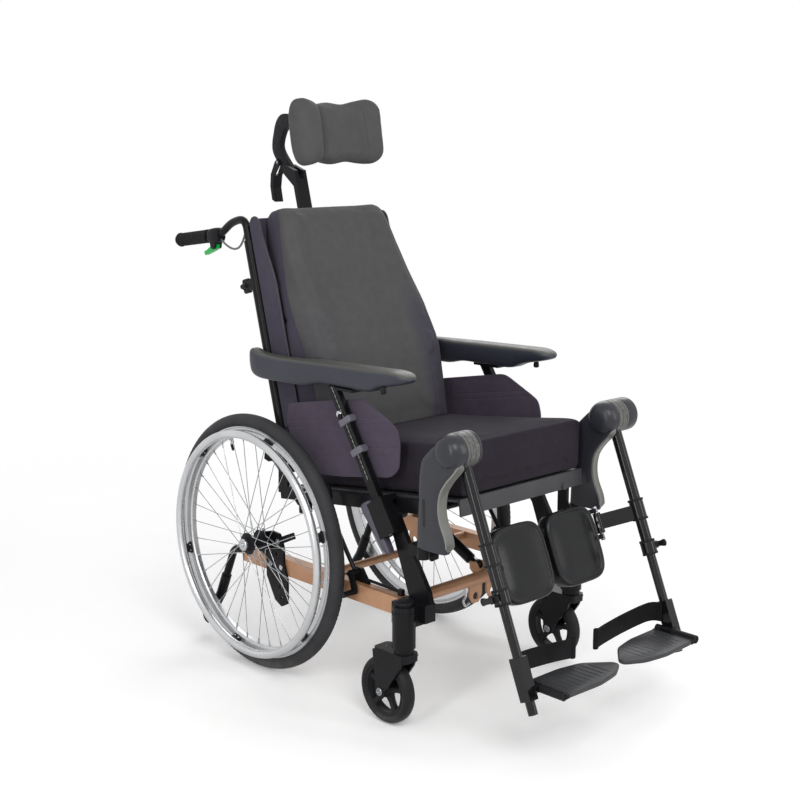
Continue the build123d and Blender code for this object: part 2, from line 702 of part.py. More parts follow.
# ------------------------------------------------------------------ arms
def arm_post():
    """Post, top carrier with its key, panel clips and the small lock knob."""
    half_x, half_y = arm_post_width / 2, arm_post_depth / 2
    post = arm_place * block(arm_x - half_x, arm_x + half_x, -half_y, half_y, arm_post_low,
                             arm_post_top)
    carrier_top = pad_carrier_z + pad_carrier_thickness
    post += block(arm_x - 26, arm_x + half_x, -312, -234, pad_carrier_z, carrier_top)
    post += block(arm_x - 15, arm_x - 15 + pad_key_width, -308, -238, carrier_top,
                  carrier_top + pad_key_height)
    post -= block(arm_x - 30, arm_x + 30, -330, -200, carrier_top + pad_key_height, 800)
    post -= block(arm_x - 30, arm_x - 15, -330, -200, carrier_top, 800)
    post -= block(arm_x - 15 + pad_key_width, arm_x + 30, -330, -200, carrier_top, 800)
    for clip_z in (106, 178):
        post += arm_place * block(panel_inner_x + panel_thickness, arm_x, -16, 16, clip_z, clip_z + 15)
    knob = disc(arm_x + half_x, pad_outer_x - 0.5, -277, 644, 6)
    return [post, knob]


def side_panel():
    outline = [(-72, 642), (-319, 686), (-337, 682), (-416, 645), (-432, 635), (-441, 604),
               (-438, 549), (-413, 527), (-251, 500), (-150, 490), (-96, 520), (-62, 600)]
    return side_plate(outline, panel_inner_x, panel_inner_x + panel_thickness, corner=6)


def armpad():
    """Long pad, thick at the rear, with an upswept lip; its groove rides on the carrier's key."""
    seat_z = pad_carrier_z + pad_carrier_thickness + face_gap
    profile = [(52, 764), (44, 702), (20, 690), (-150, 692), (-196, seat_z), (-362, seat_z),
               (-390, 722), (-454, 734), (-474, 741), (-476, 751), (-448, 762), (-220, 756),
               (-60, 748), (15, 751)]
    plan = [(212, -476), (244, -476), (pad_outer_x, -456), (pad_outer_x, 36), (246, 52), (226, 52),
            (pad_rear_inner_x, 40), (pad_rear_inner_x, -112), (pad_inner_x, -196), (pad_inner_x, -456)]
    pad = side_plate(profile, pad_inner_x - 1, pad_outer_x + 1) & level_plate(plan, 650, 800, corner=5)
    key_inner = arm_x - 15 - arm_slot_play
    return pad - block(key_inner, key_inner + pad_key_width + 2 * arm_slot_play, -345, -205, seat_z - 1,
                       seat_z + pad_key_height + arm_slot_play)


# ------------------------------------------------------------------ legs
# The two knee housings have the same hand, so each side states its own widths (mm along x)
left_hanger = {"arm": (207.0, 226.0), "dome": (192.0, 226.0), "cap": (262.0, 294.0), "pivot_x": 217.0}
right_hanger = {"arm": (-288.0, -262.0), "dome": (-300.0, -262.0), "cap": (-226.0, -218.0),
                "pivot_x": -275.0}


def hanger(sizes):
    """Swing-away arm with its upright pin, knee dome, knee pin and end cap."""
    rear_y = hanger_pivot_y + hanger_rear_gap
    reach, rise = hanger_pivot_y - knee_y, knee_z - hanger_bottom_z
    # shares of the way forward from the pin to the knee and of the way up to it
    shares = [(0.0, 0.883), (0.533, 1.061), (1.093, 1.023), (1.387, 0.836), (0.8, 0.615), (0.72, 0.427),
              (0.853, 0.216), (1.013, 0.075), (0.96, 0.0)]
    edge = [(hanger_pivot_y - forward * reach, hanger_bottom_z + up * rise) for forward, up in shares]
    outline = [(rear_y, hanger_bottom_z + 0.751 * rise)] + edge + [(rear_y, hanger_bottom_z)]
    arm = side_plate(outline, *sizes["arm"])
    rear_edges = arm.edges().filter_by(Axis.Z).filter_by(
        lambda edge: abs(edge.center().Y - rear_y) < 0.1)
    arm = fillet(rear_edges, 8)
    arm += disc(*sizes["dome"], knee_y, knee_z, knee_radius)
    arm += disc(*sizes["cap"], knee_y, knee_z, knee_radius)
    low, high = min(sizes["dome"] + sizes["cap"]), max(sizes["dome"] + sizes["cap"])
    arm += disc(low + 4, high - 4, knee_y, knee_z, knee_pin_radius)
    pivot_x = sizes["pivot_x"]
    return arm + rod((pivot_x, hanger_pivot_y, hanger_socket_z + 3),
                     (pivot_x, hanger_pivot_y, hanger_bottom_z + 10), hanger_pin_radius)


def leg_tube():
    """Knee ring, upper tube with its collar and wing knob, and the calf pad's bracket."""
    ring = disc(leg_x - knee_ring_half_width, leg_x + knee_ring_half_width, knee_y, knee_z,
                knee_radius - 1)
    tube = rod((leg_x, 0, -upper_tube_end), (leg_x, 0, -knee_radius + 8), upper_tube_radius)
    tube += rod((leg_x, 0, -upper_tube_end), (leg_x, 0, -leg_collar_start), leg_collar_radius)
    tube += rod((leg_x, 0, -236), (leg_x, 0, -192), leg_collar_radius - 1)
    tube += rod((leg_x + 10, 0, -302), (leg_x + 36, 0, -302), 6)
    tube += block(leg_x + 34, leg_x + 40, -15, 15, -308, -296)
    plate = level_plate([(leg_x - 8, -6), (leg_x - 8, 8), (calf_rod_x + 2, calf_rod_back + 5),
                         (calf_rod_x - 4, calf_rod_back - 4)], -238, -204)
    plate += rod((calf_rod_x, calf_rod_back, -246), (calf_rod_x, calf_rod_back, -200),
                 calf_rod_radius + 4)
    plate -= rod((calf_rod_x, calf_rod_back, -250), (calf_rod_x, calf_rod_back, -190),
                 calf_rod_radius + pin_fit)
    tube += plate
    tube -= rod((leg_x, 0, -upper_tube_end - 1), (leg_x, 0, -lower_tube_start + 35),
                lower_tube_radius + pin_fit)
    leg = ring + leg_place * tube
    hole = disc(leg_x - 40, leg_x + 40, knee_y, knee_z, knee_pin_radius + pin_fit)
    return leg - hole


def leg_point(distance, back=0.0):
    """World (y, z) of a point down the leg from the knee."""
    lean = radians(leg_lean)
    y = knee_y + back * cos(lean) - distance * sin(lean)
    z = knee_z - back * sin(lean) - distance * cos(lean)
    return y, z


def lower_leg():
    """Sliding tube and the fitting at its foot with the footplate's hinge knuckle."""
    tube = leg_place * rod((leg_x, 0, -lower_tube_end), (leg_x, 0, -lower_tube_start), lower_tube_radius)
    foot_y, _ = leg_point(foot_reach)
    tube += leg_place * block(leg_x - foot_block_half, leg_x + foot_block_half, -14, 14,
                              -foot_block_end, -foot_block_start)
    tube += block(foot_hinge_x, leg_x - 6, foot_y - 20, foot_y + 10, foot_hinge_z - 7, foot_hinge_z + 7)
    tube += rod((foot_hinge_x, foot_y - 20, foot_hinge_z), (foot_hinge_x, foot_y + 10, foot_hinge_z),
                foot_hinge_radius)
    return tube - rod((foot_hinge_x, foot_y - 30, foot_hinge_z), (foot_hinge_x, foot_y + 20, foot_hinge_z),
                      foot_pin_radius + pin_fit)


def footplate():
    """Plate with its two hinge knuckles and pin."""
    foot_y, _ = leg_point(foot_reach)
    front, rear = foot_y - 20 - face_gap, foot_y + 10 + face_gap
    inner = foot_plate_inner_x
    top = foot_hinge_z + 1
    plan = [(212, rear + 14), (120, foot_y + 22), (62, foot_y + 10), (inner, foot_y - 34),
            (inner, foot_y - 50), (50, foot_y - 74), (110, foot_y - 84), (212, foot_y - 80)]
    plate = level_plate(plan, top - foot_plate_thickness, top, corner=3)
    for y0, y1 in ((rear, rear + 14), (front - 60, front)):
        plate += rod((foot_hinge_x, y0, foot_hinge_z), (foot_hinge_x, y1, foot_hinge_z),
                     foot_hinge_radius)
        plate += block(208, foot_hinge_x, y0, y1, top - foot_plate_thickness, top)
    return plate + rod((foot_hinge_x, front - 30, foot_hinge_z), (foot_hinge_x, rear + 10, foot_hinge_z),
                       foot_pin_radius)


def heel_strap():
    """Band behind the heels, held by the foot fitting."""
    foot_y, _ = leg_point(foot_reach)
    outer, rear = leg_x - foot_block_half, foot_y + 14
    front_line = [(outer, rear), (outer - 8, rear + 22), (130, rear + 36), (36, rear + 32)]
    back_line = [(36, rear + 32 + heel_strap_thickness), (130, rear + 36 + heel_strap_thickness),
                 (outer - 9, rear + 22 + heel_strap_thickness), (outer, rear + 5)]
    low = foot_hinge_z + foot_hinge_radius + 4
    band = level_plate(front_line + back_line, low, low + heel_strap_height)
    turn = Pos(outer, 0, low + heel_strap_height) * Rot(0, -heel_strap_drop, 0)
    band = turn * Pos(-outer, 0, -low - heel_strap_height) * band
    return band - block(outer, outer + 20, rear - 20, rear + 40, low - 20, low + 80)


def calf_pad():
    """Rounded pad, its two lugs and the pin that turns in the bracket."""
    pad = block(calf_pad_inner_x, calf_pad_outer_x, calf_pad_front, calf_pad_rear, calf_pad_low,
                calf_pad_high)
    pad = fillet(pad.edges().filter_by(Axis.Y), 26)
    pad = fillet(pad.edges().group_by(Axis.Y)[0], 9)
    for z in (-258, -199):
        pad += block(calf_pad_outer_x - 12, calf_rod_x, calf_rod_back - 5, calf_rod_back + 5, z, z + 10)
    pad += rod((calf_rod_x, calf_rod_back, -262), (calf_rod_x, calf_rod_back, -185), calf_rod_radius)
    return leg_place * pad


# ------------------------------------------------------------------ back
def back_frame():
    """Two posts with knob collars, two cross tubes, headrest socket and recline ears."""
    post = rod((post_x, 0, post_low), (post_x, 0, post_high), post_radius)
    post += block(post_x - knob_collar_radius + 4, post_x + post_radius, -4, knob_collar_radius,
                  knob_height - 14, knob_height + 14)
    frame = post + mirrored(post)
    for height in (back_cross_low, back_cross_high):
        frame += disc(-post_x, post_x, 0, height, back_cross_radius)
    half_x, half_y = head_bar_width / 2 + arm_slot_play, head_bar_depth / 2 + arm_slot_play
    frame += block(-half_x - 6, half_x + 6, 2, head_bar_back + half_y + 6, back_cross_high - 30,
                   back_cross_high + 30)
    frame += rod((0, head_bar_back + 10, back_cross_high), (0, head_bar_back + 34, back_cross_high), 9)
    frame -= block(-half_x, half_x, head_bar_back - half_y, head_bar_back + half_y, 300, 700)
    for side in (-1, 1):
        x = side * post_x
        frame -= rod((x, 0, handle_low - 60), (x, 0, post_high + 1), handle_radius + pin_fit)
        frame -= rod((x, 0, knob_height), (x, knob_collar_radius + 1, knob_height),
                     knob_screw_radius + pin_fit)
    frame = back_place * frame
    high_y, high_z = recline_strut_high
    frame += strut_ears([(-31, 515), (-14, 514), (high_y + 8, high_z + 10), (high_y + 11, high_z - 6),
                         (high_y - 6, high_z - 11), (-29, 496)], recline_strut_x, high_y, high_z)
    for side in (-1, 1):
        frame -= disc(side * (post_x - 30), side * (post_x + 30), recline_y, recline_z,
                      recline_pin_radius + pin_fit)
    return frame


def back_upholstery():
    """Rear panel and the two side flaps."""
    half = back_panel_half_width
    shell = block(-half, half, -back_panel_front, -back_panel_front + back_panel_thickness,
                  70, back_flap_high)
    for side in (-1, 1):
        shell += block(side * (half - back_flap_thickness), side * half, -back_flap_front,
                       -back_panel_front, back_flap_low, back_flap_high)
    return back_place * shell


def back_cushion():
    """Tapered cushion: two side bolsters that swell forward near the lumbar, flat middle."""
    stations = [  # height, half width, bolster front, middle front
        (56, 197, 172, 176), (150, 197, 181, 174), (237, 196, 182, 168), (344, 194, 149, 138),
        (420, 189, 120, 112), (512, 178, 100, 98), (572, 165, 98, 104), (596, 150, 84, 92)]
    sections = [cushion_section(*station) for station in stations]
    return back_place * loft(sections)


def cushion_section(height, half, bolster, middle):
    """One level section of the back cushion, drawn from lines and arcs."""
    rear = back_panel_front
    side = bolster - 34
    points = {"rear": (half - 8, -rear), "side": (half, -side), "crest": (half - 24, -bolster),
              "valley": (half - 66, -middle)}
    flip = {name: (-x, y) for name, (x, y) in points.items()}
    face = make_face([
        Line(flip["rear"], points["rear"]),
        Line(points["rear"], points["side"]),
        ThreePointArc(points["side"], (half - 5, -side - 24), points["crest"]),
        ThreePointArc(points["crest"], (half - 46, -(bolster + middle) / 2), points["valley"]),
        ThreePointArc(points["valley"], (0, -middle - 4), flip["valley"]),
        ThreePointArc(flip["valley"], (-half + 46, -(bolster + middle) / 2), flip["crest"]),
        ThreePointArc(flip["crest"], (-half + 5, -side - 24), flip["side"]),
        Line(flip["side"], flip["rear"]),
    ])
    return Pos(0, 0, height) * face


# ------------------------------------------------------------------ push handles
def push_handle():
    """Bent tube, grip, trigger housing and the cable from housing to tube, as four solids."""
    low = back_place * Pos(post_x, 0, handle_low)
    bend = back_place * Pos(post_x, 0, 592)
    start, corner = low.position, bend.position
    points = [tuple(start), tuple(corner), (post_x, 166, 1044), (post_x, 214, 1011), (post_x, 378, 990)]
    tube = bent_rod(points, 24, handle_radius)
    grip = rod((post_x, 262, 1004.9), (post_x, 386, 989), grip_radius)
    grip = fillet(grip.edges(), 6)
    housing = block(post_x - 17, post_x + 17, 212, 252, 990, 1027)
    housing = fillet(housing.edges().filter_by(Axis.X), 8)
    cheeks = block(post_x - 11, post_x + 11, trigger_y - 10, trigger_y + 12, trigger_z - 7, trigger_z + 9)
    half = trigger_half_width + face_gap
    slot = block(post_x - half, post_x + half, trigger_y - 14, trigger_y + 24, trigger_z - 20,
                 trigger_z + 10)
    pin = disc(post_x - 11, post_x + 11, trigger_y, trigger_z, trigger_pin_radius)
    housing = housing + cheeks - slot + pin
    cable = bent_rod([(post_x, 213, 1000), (post_x, 186, 982), (post_x, 148, 978), (post_x, 124, 1000),
                      (post_x, 112, 1030)], 14, 2.6)
    housing = housing - tube
    return [tube, grip - tube, housing, cable - tube - housing]


def trigger():
    """Finger lever under the grip."""
    outline = [(224, 988), (236, 991), (246, 984), (266, 971), (277, 967), (272, 958), (252, 965),
               (232, 973), (225, 978)]
    lever = side_plate(outline, post_x - trigger_half_width, post_x + trigger_half_width, corner=2)
    return lever - disc(post_x - 9, post_x + 9, trigger_y, trigger_z, trigger_pin_radius + pin_fit)


def handle_knob():
    """Star knob and its screw behind the post."""
    start = knob_collar_radius + face_gap
    knob = rod((post_x, start, knob_height), (post_x, start + 24, knob_height), 13)
    for number in range(5):
        angle = radians(72 * number)
        x, z = post_x + 12 * cos(angle), knob_height + 12 * sin(angle)
        knob += rod((x, start + 6, z), (x, start + 24, z), 6)
    knob += rod((post_x, handle_radius + 1, knob_height), (post_x, start + 4, knob_height),
                knob_screw_radius)
    return back_place * knob


# ------------------------------------------------------------------ headrest
arm_hinge = (44.0, 716.0)        # (behind the post axis, up the back)
lever_hinge = (74.0, 742.0)
pad_hinge = (-74.0, 800.0)


def headrest_bar():
    """Flat bar with a fork at its top."""
    half_x, half_y = head_bar_width / 2, head_bar_depth / 2
    bar = block(-half_x, half_x, head_bar_back - half_y, head_bar_back + half_y, head_bar_low,
                head_bar_high - 16)
    y, z = arm_hinge
    inner = head_arm_thickness / 2 + face_gap
    for x0, x1 in ((-half_x, -inner), (inner, half_x)):
        bar += side_plate([(head_bar_back - half_y, 676), (head_bar_back + half_y, 670), (y + 12, z - 4),
                           (y, z + 13), (head_bar_back - half_y, 706)], x0, x1)
    bar += disc(-half_x, half_x, y, z, head_arm_pin_radius)
    return back_place * bar


def headrest_arm():
    """Curved arm from the bar's hinge round behind to the pad's hinge."""
    y, z = arm_hinge
    half = head_arm_thickness / 2
    outline = [(y - 15, z - 4), (y - 4, z - 15), (y + 12, z - 12), (92, 764), (92, 790), (62, 842),
               (34, 856), (-20, 834), (-62, 812), (-84, 810), (-86, 790), (-60, 786), (-10, 806),
               (30, 820), (60, 784), (58, 764)]
    arm = side_plate(outline, -half, half, corner=4)
    arm -= disc(-half - 1, half + 1, y, z, head_arm_pin_radius + pin_fit)
    arm += disc(-half - 7, half + 7, lever_hinge[0], lever_hinge[1], 4)
    return back_place * (arm - disc(-half - 1, half + 1, pad_hinge[0], pad_hinge[1],
                                    head_arm_pin_radius + pin_fit))


def headrest_lever():
    """Hooked locking lever behind the arm."""
    half = head_arm_thickness / 2 + face_gap
    y, z = lever_hinge
    lever = None
    for x0, x1 in ((-half - 5, -half), (half, half + 5)):
        cheek = side_plate([(y - 8, z - 4), (y, z + 8), (y + 10, z + 4), (y + 34, z - 22),
                            (y + 22, z - 28)], x0, x1)
        lever = cheek if lever is None else lever + cheek
    lever += side_plate([(y + 22, z - 28), (y + 34, z - 22), (y + 44, z - 50), (y + 46, z - 84),
                         (y + 36, z - 92), (y + 34, z - 56)], -half - 5, half + 5)
    return back_place * (lever - disc(-half - 9, half + 9, y, z, 4 + pin_fit))


def headrest_pad():
    """Padded shell with forward wings, and the two ears of its hinge."""
    low, high = head_pad_centre - head_pad_height / 2, head_pad_centre + head_pad_height / 2
    stations = [(low, 16), (low + 7, 7), (low + 26, 0), (high - 26, 0), (high - 7, 7), (high, 16)]
    pad = loft([headrest_section(height, inset) for height, inset in stations])
    inner = head_arm_thickness / 2 + face_gap
    y, z = pad_hinge
    for x0, x1 in ((-inner - 6, -inner), (inner, inner + 6)):
        pad += side_plate([(-108, z - 14), (-108, z + 14), (y + 9, z + 9), (y + 9, z - 9)], x0, x1)
    pad += disc(-inner - 6, inner + 6, y, z, head_arm_pin_radius)
    return back_place * pad


def headrest_section(height, inset):
    """One level section of the headrest pad, drawn in by an inset."""
    half = head_pad_half_width - inset
    rear, front, tip = -92 - inset, -158 + inset, -172
    face = make_face([
        ThreePointArc((-half, tip), (0, rear), (half, tip)),
        ThreePointArc((half, tip), (half - 8, tip - 24), (half - 30, tip - 22 + inset)),
        ThreePointArc((half - 30, tip - 22 + inset), (0, front), (-half + 30, tip - 22 + inset)),
        ThreePointArc((-half + 30, tip - 22 + inset), (-half + 8, tip - 24), (-half, tip)),
    ])
    return Pos(0, 0, height) * face


# ------------------------------------------------------------------ the nodes
def both_sides(name, left_pieces):
    """A left node and its mirrored right node."""
    nodes[name + "_left"] = list(left_pieces)
    nodes[name + "_right"] = [mirrored(piece) for piece in left_pieces]


nodes = {
    "side_rails": pair([side_rail()]),
    "crossbars": crossbars() + pair([rear_tie_plate()]),
    "front_struts": pair([front_strut()]),
    "castor_housings": pair([castor_housing()]),
    "rail_brackets": pair([axle_plate(), lock_bracket(), rear_socket()]),
    "chassis_hardware": pair([axle_pin(), tie_hook()] + screws()),
    "seat_frame": [seat_frame()],
    "seat_pan": seat_pan(),
    "seat_cushion": [seat_cushion()],
    "tilt_strut_cylinder": [strut_body(tilt_strut_low, tilt_strut_high, tilt_strut_x,
                                       tilt_strut_body_radius, tilt_strut_rod_radius,
                                       tilt_strut_body_length)],
    "tilt_strut_rod": [strut_rod(tilt_strut_low, tilt_strut_high, tilt_strut_x, tilt_strut_rod_radius,
                                 tilt_strut_rod_length)],
    "recline_strut_cylinder": [strut_body(recline_strut_low, recline_strut_high, recline_strut_x,
                                          recline_strut_body_radius, recline_strut_rod_radius,
                                          recline_strut_body_length)],
    "recline_strut_rod": [strut_rod(recline_strut_low, recline_strut_high, recline_strut_x,
                                    recline_strut_rod_radius, recline_strut_rod_length)],
    "hanger_left": [hanger(left_hanger)],
    "hanger_right": [hanger(right_hanger)],
    "back_frame": [back_frame()],
    "back_upholstery": [back_upholstery()],
    "back_cushion": [back_cushion()],
    "headrest_bar": [headrest_bar()],
    "headrest_arm": [headrest_arm()],
    "headrest_lever": [headrest_lever()],
    "headrest_pad": [headrest_pad()],
}
both_sides("rear_tyre", [rear_tyre()])
both_sides("rear_rim", [rear_rim()])
both_sides("spoked_hub", [spoked_hub()])
both_sides("handrim", handrim())
both_sides("castor_fork", [castor_fork()])
both_sides("castor_wheel", castor_wheel())
both_sides("anti_tipper", [anti_tipper()])
both_sides("wheel_lock", [wheel_lock()])
both_sides("arm_post", arm_post())
both_sides("side_panel", [side_panel()])
both_sides("armpad", [armpad()])
both_sides("leg_tube", [leg_tube()])
both_sides("lower_leg", [lower_leg()])
both_sides("footplate", [footplate()])
both_sides("heel_strap", [heel_strap()])
both_sides("calf_pad", [calf_pad()])
both_sides("push_handle", push_handle())
both_sides("trigger", [trigger()])
both_sides("handle_knob", [handle_knob()])

boxes = [piece.bounding_box() for pieces in nodes.values() for piece in pieces]
middle_y = (min(box.min.Y for box in boxes) + max(box.max.Y for box in boxes)) / 2
shift_y = -middle_y         # from the rear axle to the middle of the bounding box

os.makedirs("parts", exist_ok=True)
for name, pieces in nodes.items():
    solids = [Pos(0, shift_y, 0) * solid for piece in pieces for solid in piece.solids()]
    export_step(Compound(children=solids), f"parts/{name}.step")
print(len(nodes), "nodes, shift", round(shift_y, 3))
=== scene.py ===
"""Tilt-in-space wheelchair: soft goods, wheels, fittings, finishes and studio round the fixed frame."""
from math import cos, pi, radians, sin

import bpy
import numpy as np
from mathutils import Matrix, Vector
from mathutils.bvhtree import BVHTree


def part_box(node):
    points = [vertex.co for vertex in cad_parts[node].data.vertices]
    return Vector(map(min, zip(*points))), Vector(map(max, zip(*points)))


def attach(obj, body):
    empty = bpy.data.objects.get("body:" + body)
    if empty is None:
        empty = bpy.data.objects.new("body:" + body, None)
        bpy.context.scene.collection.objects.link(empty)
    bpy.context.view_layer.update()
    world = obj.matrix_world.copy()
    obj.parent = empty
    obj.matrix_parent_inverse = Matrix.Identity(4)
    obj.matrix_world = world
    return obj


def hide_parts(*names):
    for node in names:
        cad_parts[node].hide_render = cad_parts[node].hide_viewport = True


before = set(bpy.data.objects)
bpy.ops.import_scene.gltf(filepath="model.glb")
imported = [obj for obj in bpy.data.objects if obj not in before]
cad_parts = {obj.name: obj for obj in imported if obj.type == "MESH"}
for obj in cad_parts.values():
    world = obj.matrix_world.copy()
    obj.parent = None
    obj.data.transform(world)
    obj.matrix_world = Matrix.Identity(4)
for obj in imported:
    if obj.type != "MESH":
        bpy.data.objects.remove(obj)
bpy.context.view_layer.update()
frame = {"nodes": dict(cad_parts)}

bl_info = {
    "name": "Tilt-in-space wheelchair",
    "version": (1, 0, 0),
    "blender": (4, 5, 0),
    "location": "3D View > Sidebar > Wheelchair",
    "description": "Builds the soft goods, wheels, fittings and studio of a tilt-in-space wheelchair",
    "category": "Object",
}

LEFT, RIGHT = 1, -1
SIDES = ((LEFT, "left"), (RIGHT, "right"))

tyre_low, tyre_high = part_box("rear_tyre_left")
AXLE_Y = 500.0 * (tyre_low.y + tyre_high.y)
AXLE_Z = 500.0 * (tyre_low.z + tyre_high.z)
WHEEL_X = 500.0 * (tyre_low.x + tyre_high.x)
WHEEL_R = 500.0 * (tyre_high.z - tyre_low.z)


# ------------------------------------------------------------------ places, in drawing millimetres
def at(x, y, z):
    """Drawing millimetres, from the rear axle and the floor, as metres in the frame: y is moved by the
    axle's place and everything is divided by 1000."""
    x, y, z = np.broadcast_arrays(x, y, z)
    return np.stack([x, y + AXLE_Y, z], -1) / 1000.0


def leaning(angle, y0, z0):
    """A function that places points of a part which leans back by an angle about (y0, z0): y and z are
    turned about x by that angle and then moved."""
    c, s = cos(radians(angle)), sin(radians(angle))

    def place(x, y, z):
        y, z = np.asarray(y, float), np.asarray(z, float)
        return at(x, y0 + y * c + z * s, z0 - y * s + z * c)
    return place


BACK_LEAN, BACK_Y, BACK_Z = 14.4, -32.0, 480.0     # degrees, and the back's pivot
KNEE = (-633.0, 627.0)                             # y and z of the knee's axle
on_back = leaning(BACK_LEAN, BACK_Y, BACK_Z)
on_arm = leaning(31.8, -387.0, 478.0)
on_leg = leaning(22.0, *KNEE)


def from_side(place):
    """A placing function for outlines drawn in (y, z) with their depth along x."""
    return lambda u, v, w: place(w, u, v)


def from_front(place):
    """A placing function for outlines drawn in (x, z) with their depth along y."""
    return lambda u, v, w: place(u, w, v)


# ------------------------------------------------------------------ curves and sections
def unit(vectors):
    """Vectors divided by their own lengths."""
    vectors = np.asarray(vectors, float)
    return vectors / np.maximum(np.linalg.norm(vectors, axis=-1, keepdims=True), 1e-12)


def curve(points, count):
    """A smooth line through points: each stretch is the Catmull-Rom cubic of its two ends and their
    neighbours, sampled evenly."""
    p = np.asarray(points, float)
    p = np.vstack([2 * p[0] - p[1], p, 2 * p[-1] - p[-2]])
    s = np.linspace(0, len(p) - 3, count)
    i = np.minimum(s.astype(int), len(p) - 4)
    t = (s - i)[:, None]
    a, b, c, d = p[i], p[i + 1], p[i + 2], p[i + 3]
    return 0.5 * (2 * b + (c - a) * t + (2 * a - 5 * b + 4 * c - d) * t**2
                  + (3 * b - a - 3 * c + d) * t**3)


def rounded(points, radius, steps=5, closed=True):
    """A polygon whose corners are quadratic curves: each starts and ends a radius from its corner, or
    just short of half way along a short edge."""
    p = np.asarray(points, float)
    before, after = np.roll(p, 1, 0) - p, np.roll(p, -1, 0) - p
    reach = np.broadcast_to(radius, len(p))[:, None]
    length_before = np.linalg.norm(before, axis=1, keepdims=True)
    length_after = np.linalg.norm(after, axis=1, keepdims=True)
    start = p + before * np.minimum(reach / length_before, 0.49)
    end = p + after * np.minimum(reach / length_after, 0.49)
    if not closed:
        start[0] = end[0] = p[0]
        start[-1] = end[-1] = p[-1]
    t = np.linspace(0, 1, steps)[:, None, None]
    line = (1 - t)**2 * start + 2 * t * (1 - t) * p + t**2 * end
    line = np.moveaxis(line, 0, 1)
    if not closed:
        return np.vstack([p[:1], line[1:-1].reshape(-1, p.shape[1]), p[-1:]])
    return line.reshape(-1, p.shape[1])


def squircle(around, power):
    """Points of |x|^n + |y|^n = 1, by raising cosine and sine to 2/n with their signs kept."""
    t = np.linspace(0, 2 * pi, around, endpoint=False)
    c, s = np.cos(t), np.sin(t)
    return np.stack([np.sign(c) * abs(c)**(2 / power), np.sign(s) * abs(s)**(2 / power)], -1)


def ease(x, low, high):
    """0 below low, 1 above high, and 3t^2 - 2t^3 between."""
    t = np.clip((np.asarray(x, float) - low) / (high - low), 0, 1)
    return t * t * (3 - 2 * t)


def end_rows(count, soft=1.0):
    """Places from -1 to 1 that crowd towards both ends, as sines of even steps."""
    s = np.linspace(-1, 1, count)
    return (1 - soft) * s + soft * np.sin(s * pi / 2)


def slices(outline, levels):
    """For each level of the second coordinate, the lowest and highest first coordinate at which that
    level crosses the outline."""
    p = np.asarray(outline, float)
    q = np.roll(p, -1, 0)
    rise = np.where(abs(q[:, 1] - p[:, 1]) < 1e-9, 1e-9, q[:, 1] - p[:, 1])
    t = (levels[:, None] - p[:, 1]) / rise
    crossing = p[:, 0] + t * (q[:, 0] - p[:, 0])
    inside = (t >= -1e-9) & (t <= 1 + 1e-9)
    return (np.where(inside, crossing, np.inf).min(1), np.where(inside, crossing, -np.inf).max(1))


# ------------------------------------------------------------------ shells: points, quads, polygons
def outward(points, quads, polygons):
    """The same shell with its faces turned outwards: the sum of its signed corner volumes is positive."""
    middle = points.mean(0)
    rings = [quads] + [np.asarray(p)[None] for p in polygons]
    total = 0.0
    for ring in rings:
        corner = points[ring] - middle
        first, second, third = corner[:, :1], corner[:, 1:-1], corner[:, 2:]
        total += np.einsum("fki,fki->", np.broadcast_to(first, second.shape), np.cross(second, third))
    if total < 0:
        quads = quads[:, ::-1]
        polygons = [p[::-1] for p in polygons]
    return points, quads, polygons


def skin(grid, ring=False):
    """A closed shell from a grid of points, rows by around: neighbours are joined, and the end rows are
    closed by one face each unless the rows themselves close in a ring."""
    rows, around = grid.shape[:2]
    index = np.arange(rows * around).reshape(rows, around)
    full = np.vstack([index, index[:1]]) if ring else index
    right = np.roll(full, -1, axis=1)
    quads = np.stack([full[:-1], right[:-1], right[1:], full[1:]], -1).reshape(-1, 4)
    ends = [] if ring else [index[0][::-1], index[-1]]
    return outward(grid.reshape(-1, 3), quads, ends)


def mirrored(shells, side):
    """Shells moved to the other side when side is RIGHT: x changes its sign and the faces turn over."""
    if side == LEFT:
        return shells
    return [outward(points * (-1, 1, 1), quads, polygons) for points, quads, polygons in shells]


def turned(profile, origin, axis=(1, 0, 0), around=64, ring=False, place=at):
    """A profile of (along, radius) pairs turned about an axis: origin + along * axis + radius *
    (cos t * first + sin t * second), with first and second square to the axis."""
    profile = np.asarray(profile, float)
    axis = unit(axis)
    first = unit(np.cross(axis, (0, 0, 1) if abs(axis[2]) < 0.9 else (0, 1, 0)))
    second = np.cross(axis, first)
    t = np.linspace(0, 2 * pi, around, endpoint=False)
    spoke = np.cos(t)[:, None] * first + np.sin(t)[:, None] * second
    grid = (np.asarray(origin, float) + profile[:, None, :1] * axis
            + profile[:, None, 1:] * spoke)
    return skin(place(*np.moveaxis(grid, -1, 0)), ring)


def carried(path, section, up=(1, 0, 0), place=at, ring=False):
    """A section of (across, over) pairs carried along a path: at each point across is the unit of
    direction x up, and over completes the square."""
    path, section = np.asarray(path, float), np.asarray(section, float)
    if ring:
        direction = unit(np.roll(path, -1, 0) - np.roll(path, 1, 0))
    else:
        direction = unit(np.gradient(path, axis=0))
    across = unit(np.cross(direction, np.broadcast_to(up, path.shape)))
    over = np.cross(across, direction)
    grid = (path[:, None] + section[..., 0:1] * across[:, None] + section[..., 1:2] * over[:, None])
    return skin(place(*np.moveaxis(grid, -1, 0)), ring)


def tube(path, radius, around=16, up=(1, 0, 0), place=at):
    """A round section of a radius, one or one for each point, carried along a path."""
    reach = np.broadcast_to(radius, len(path))[:, None, None]
    return carried(path, squircle(around, 2)[None] * reach, up, place)


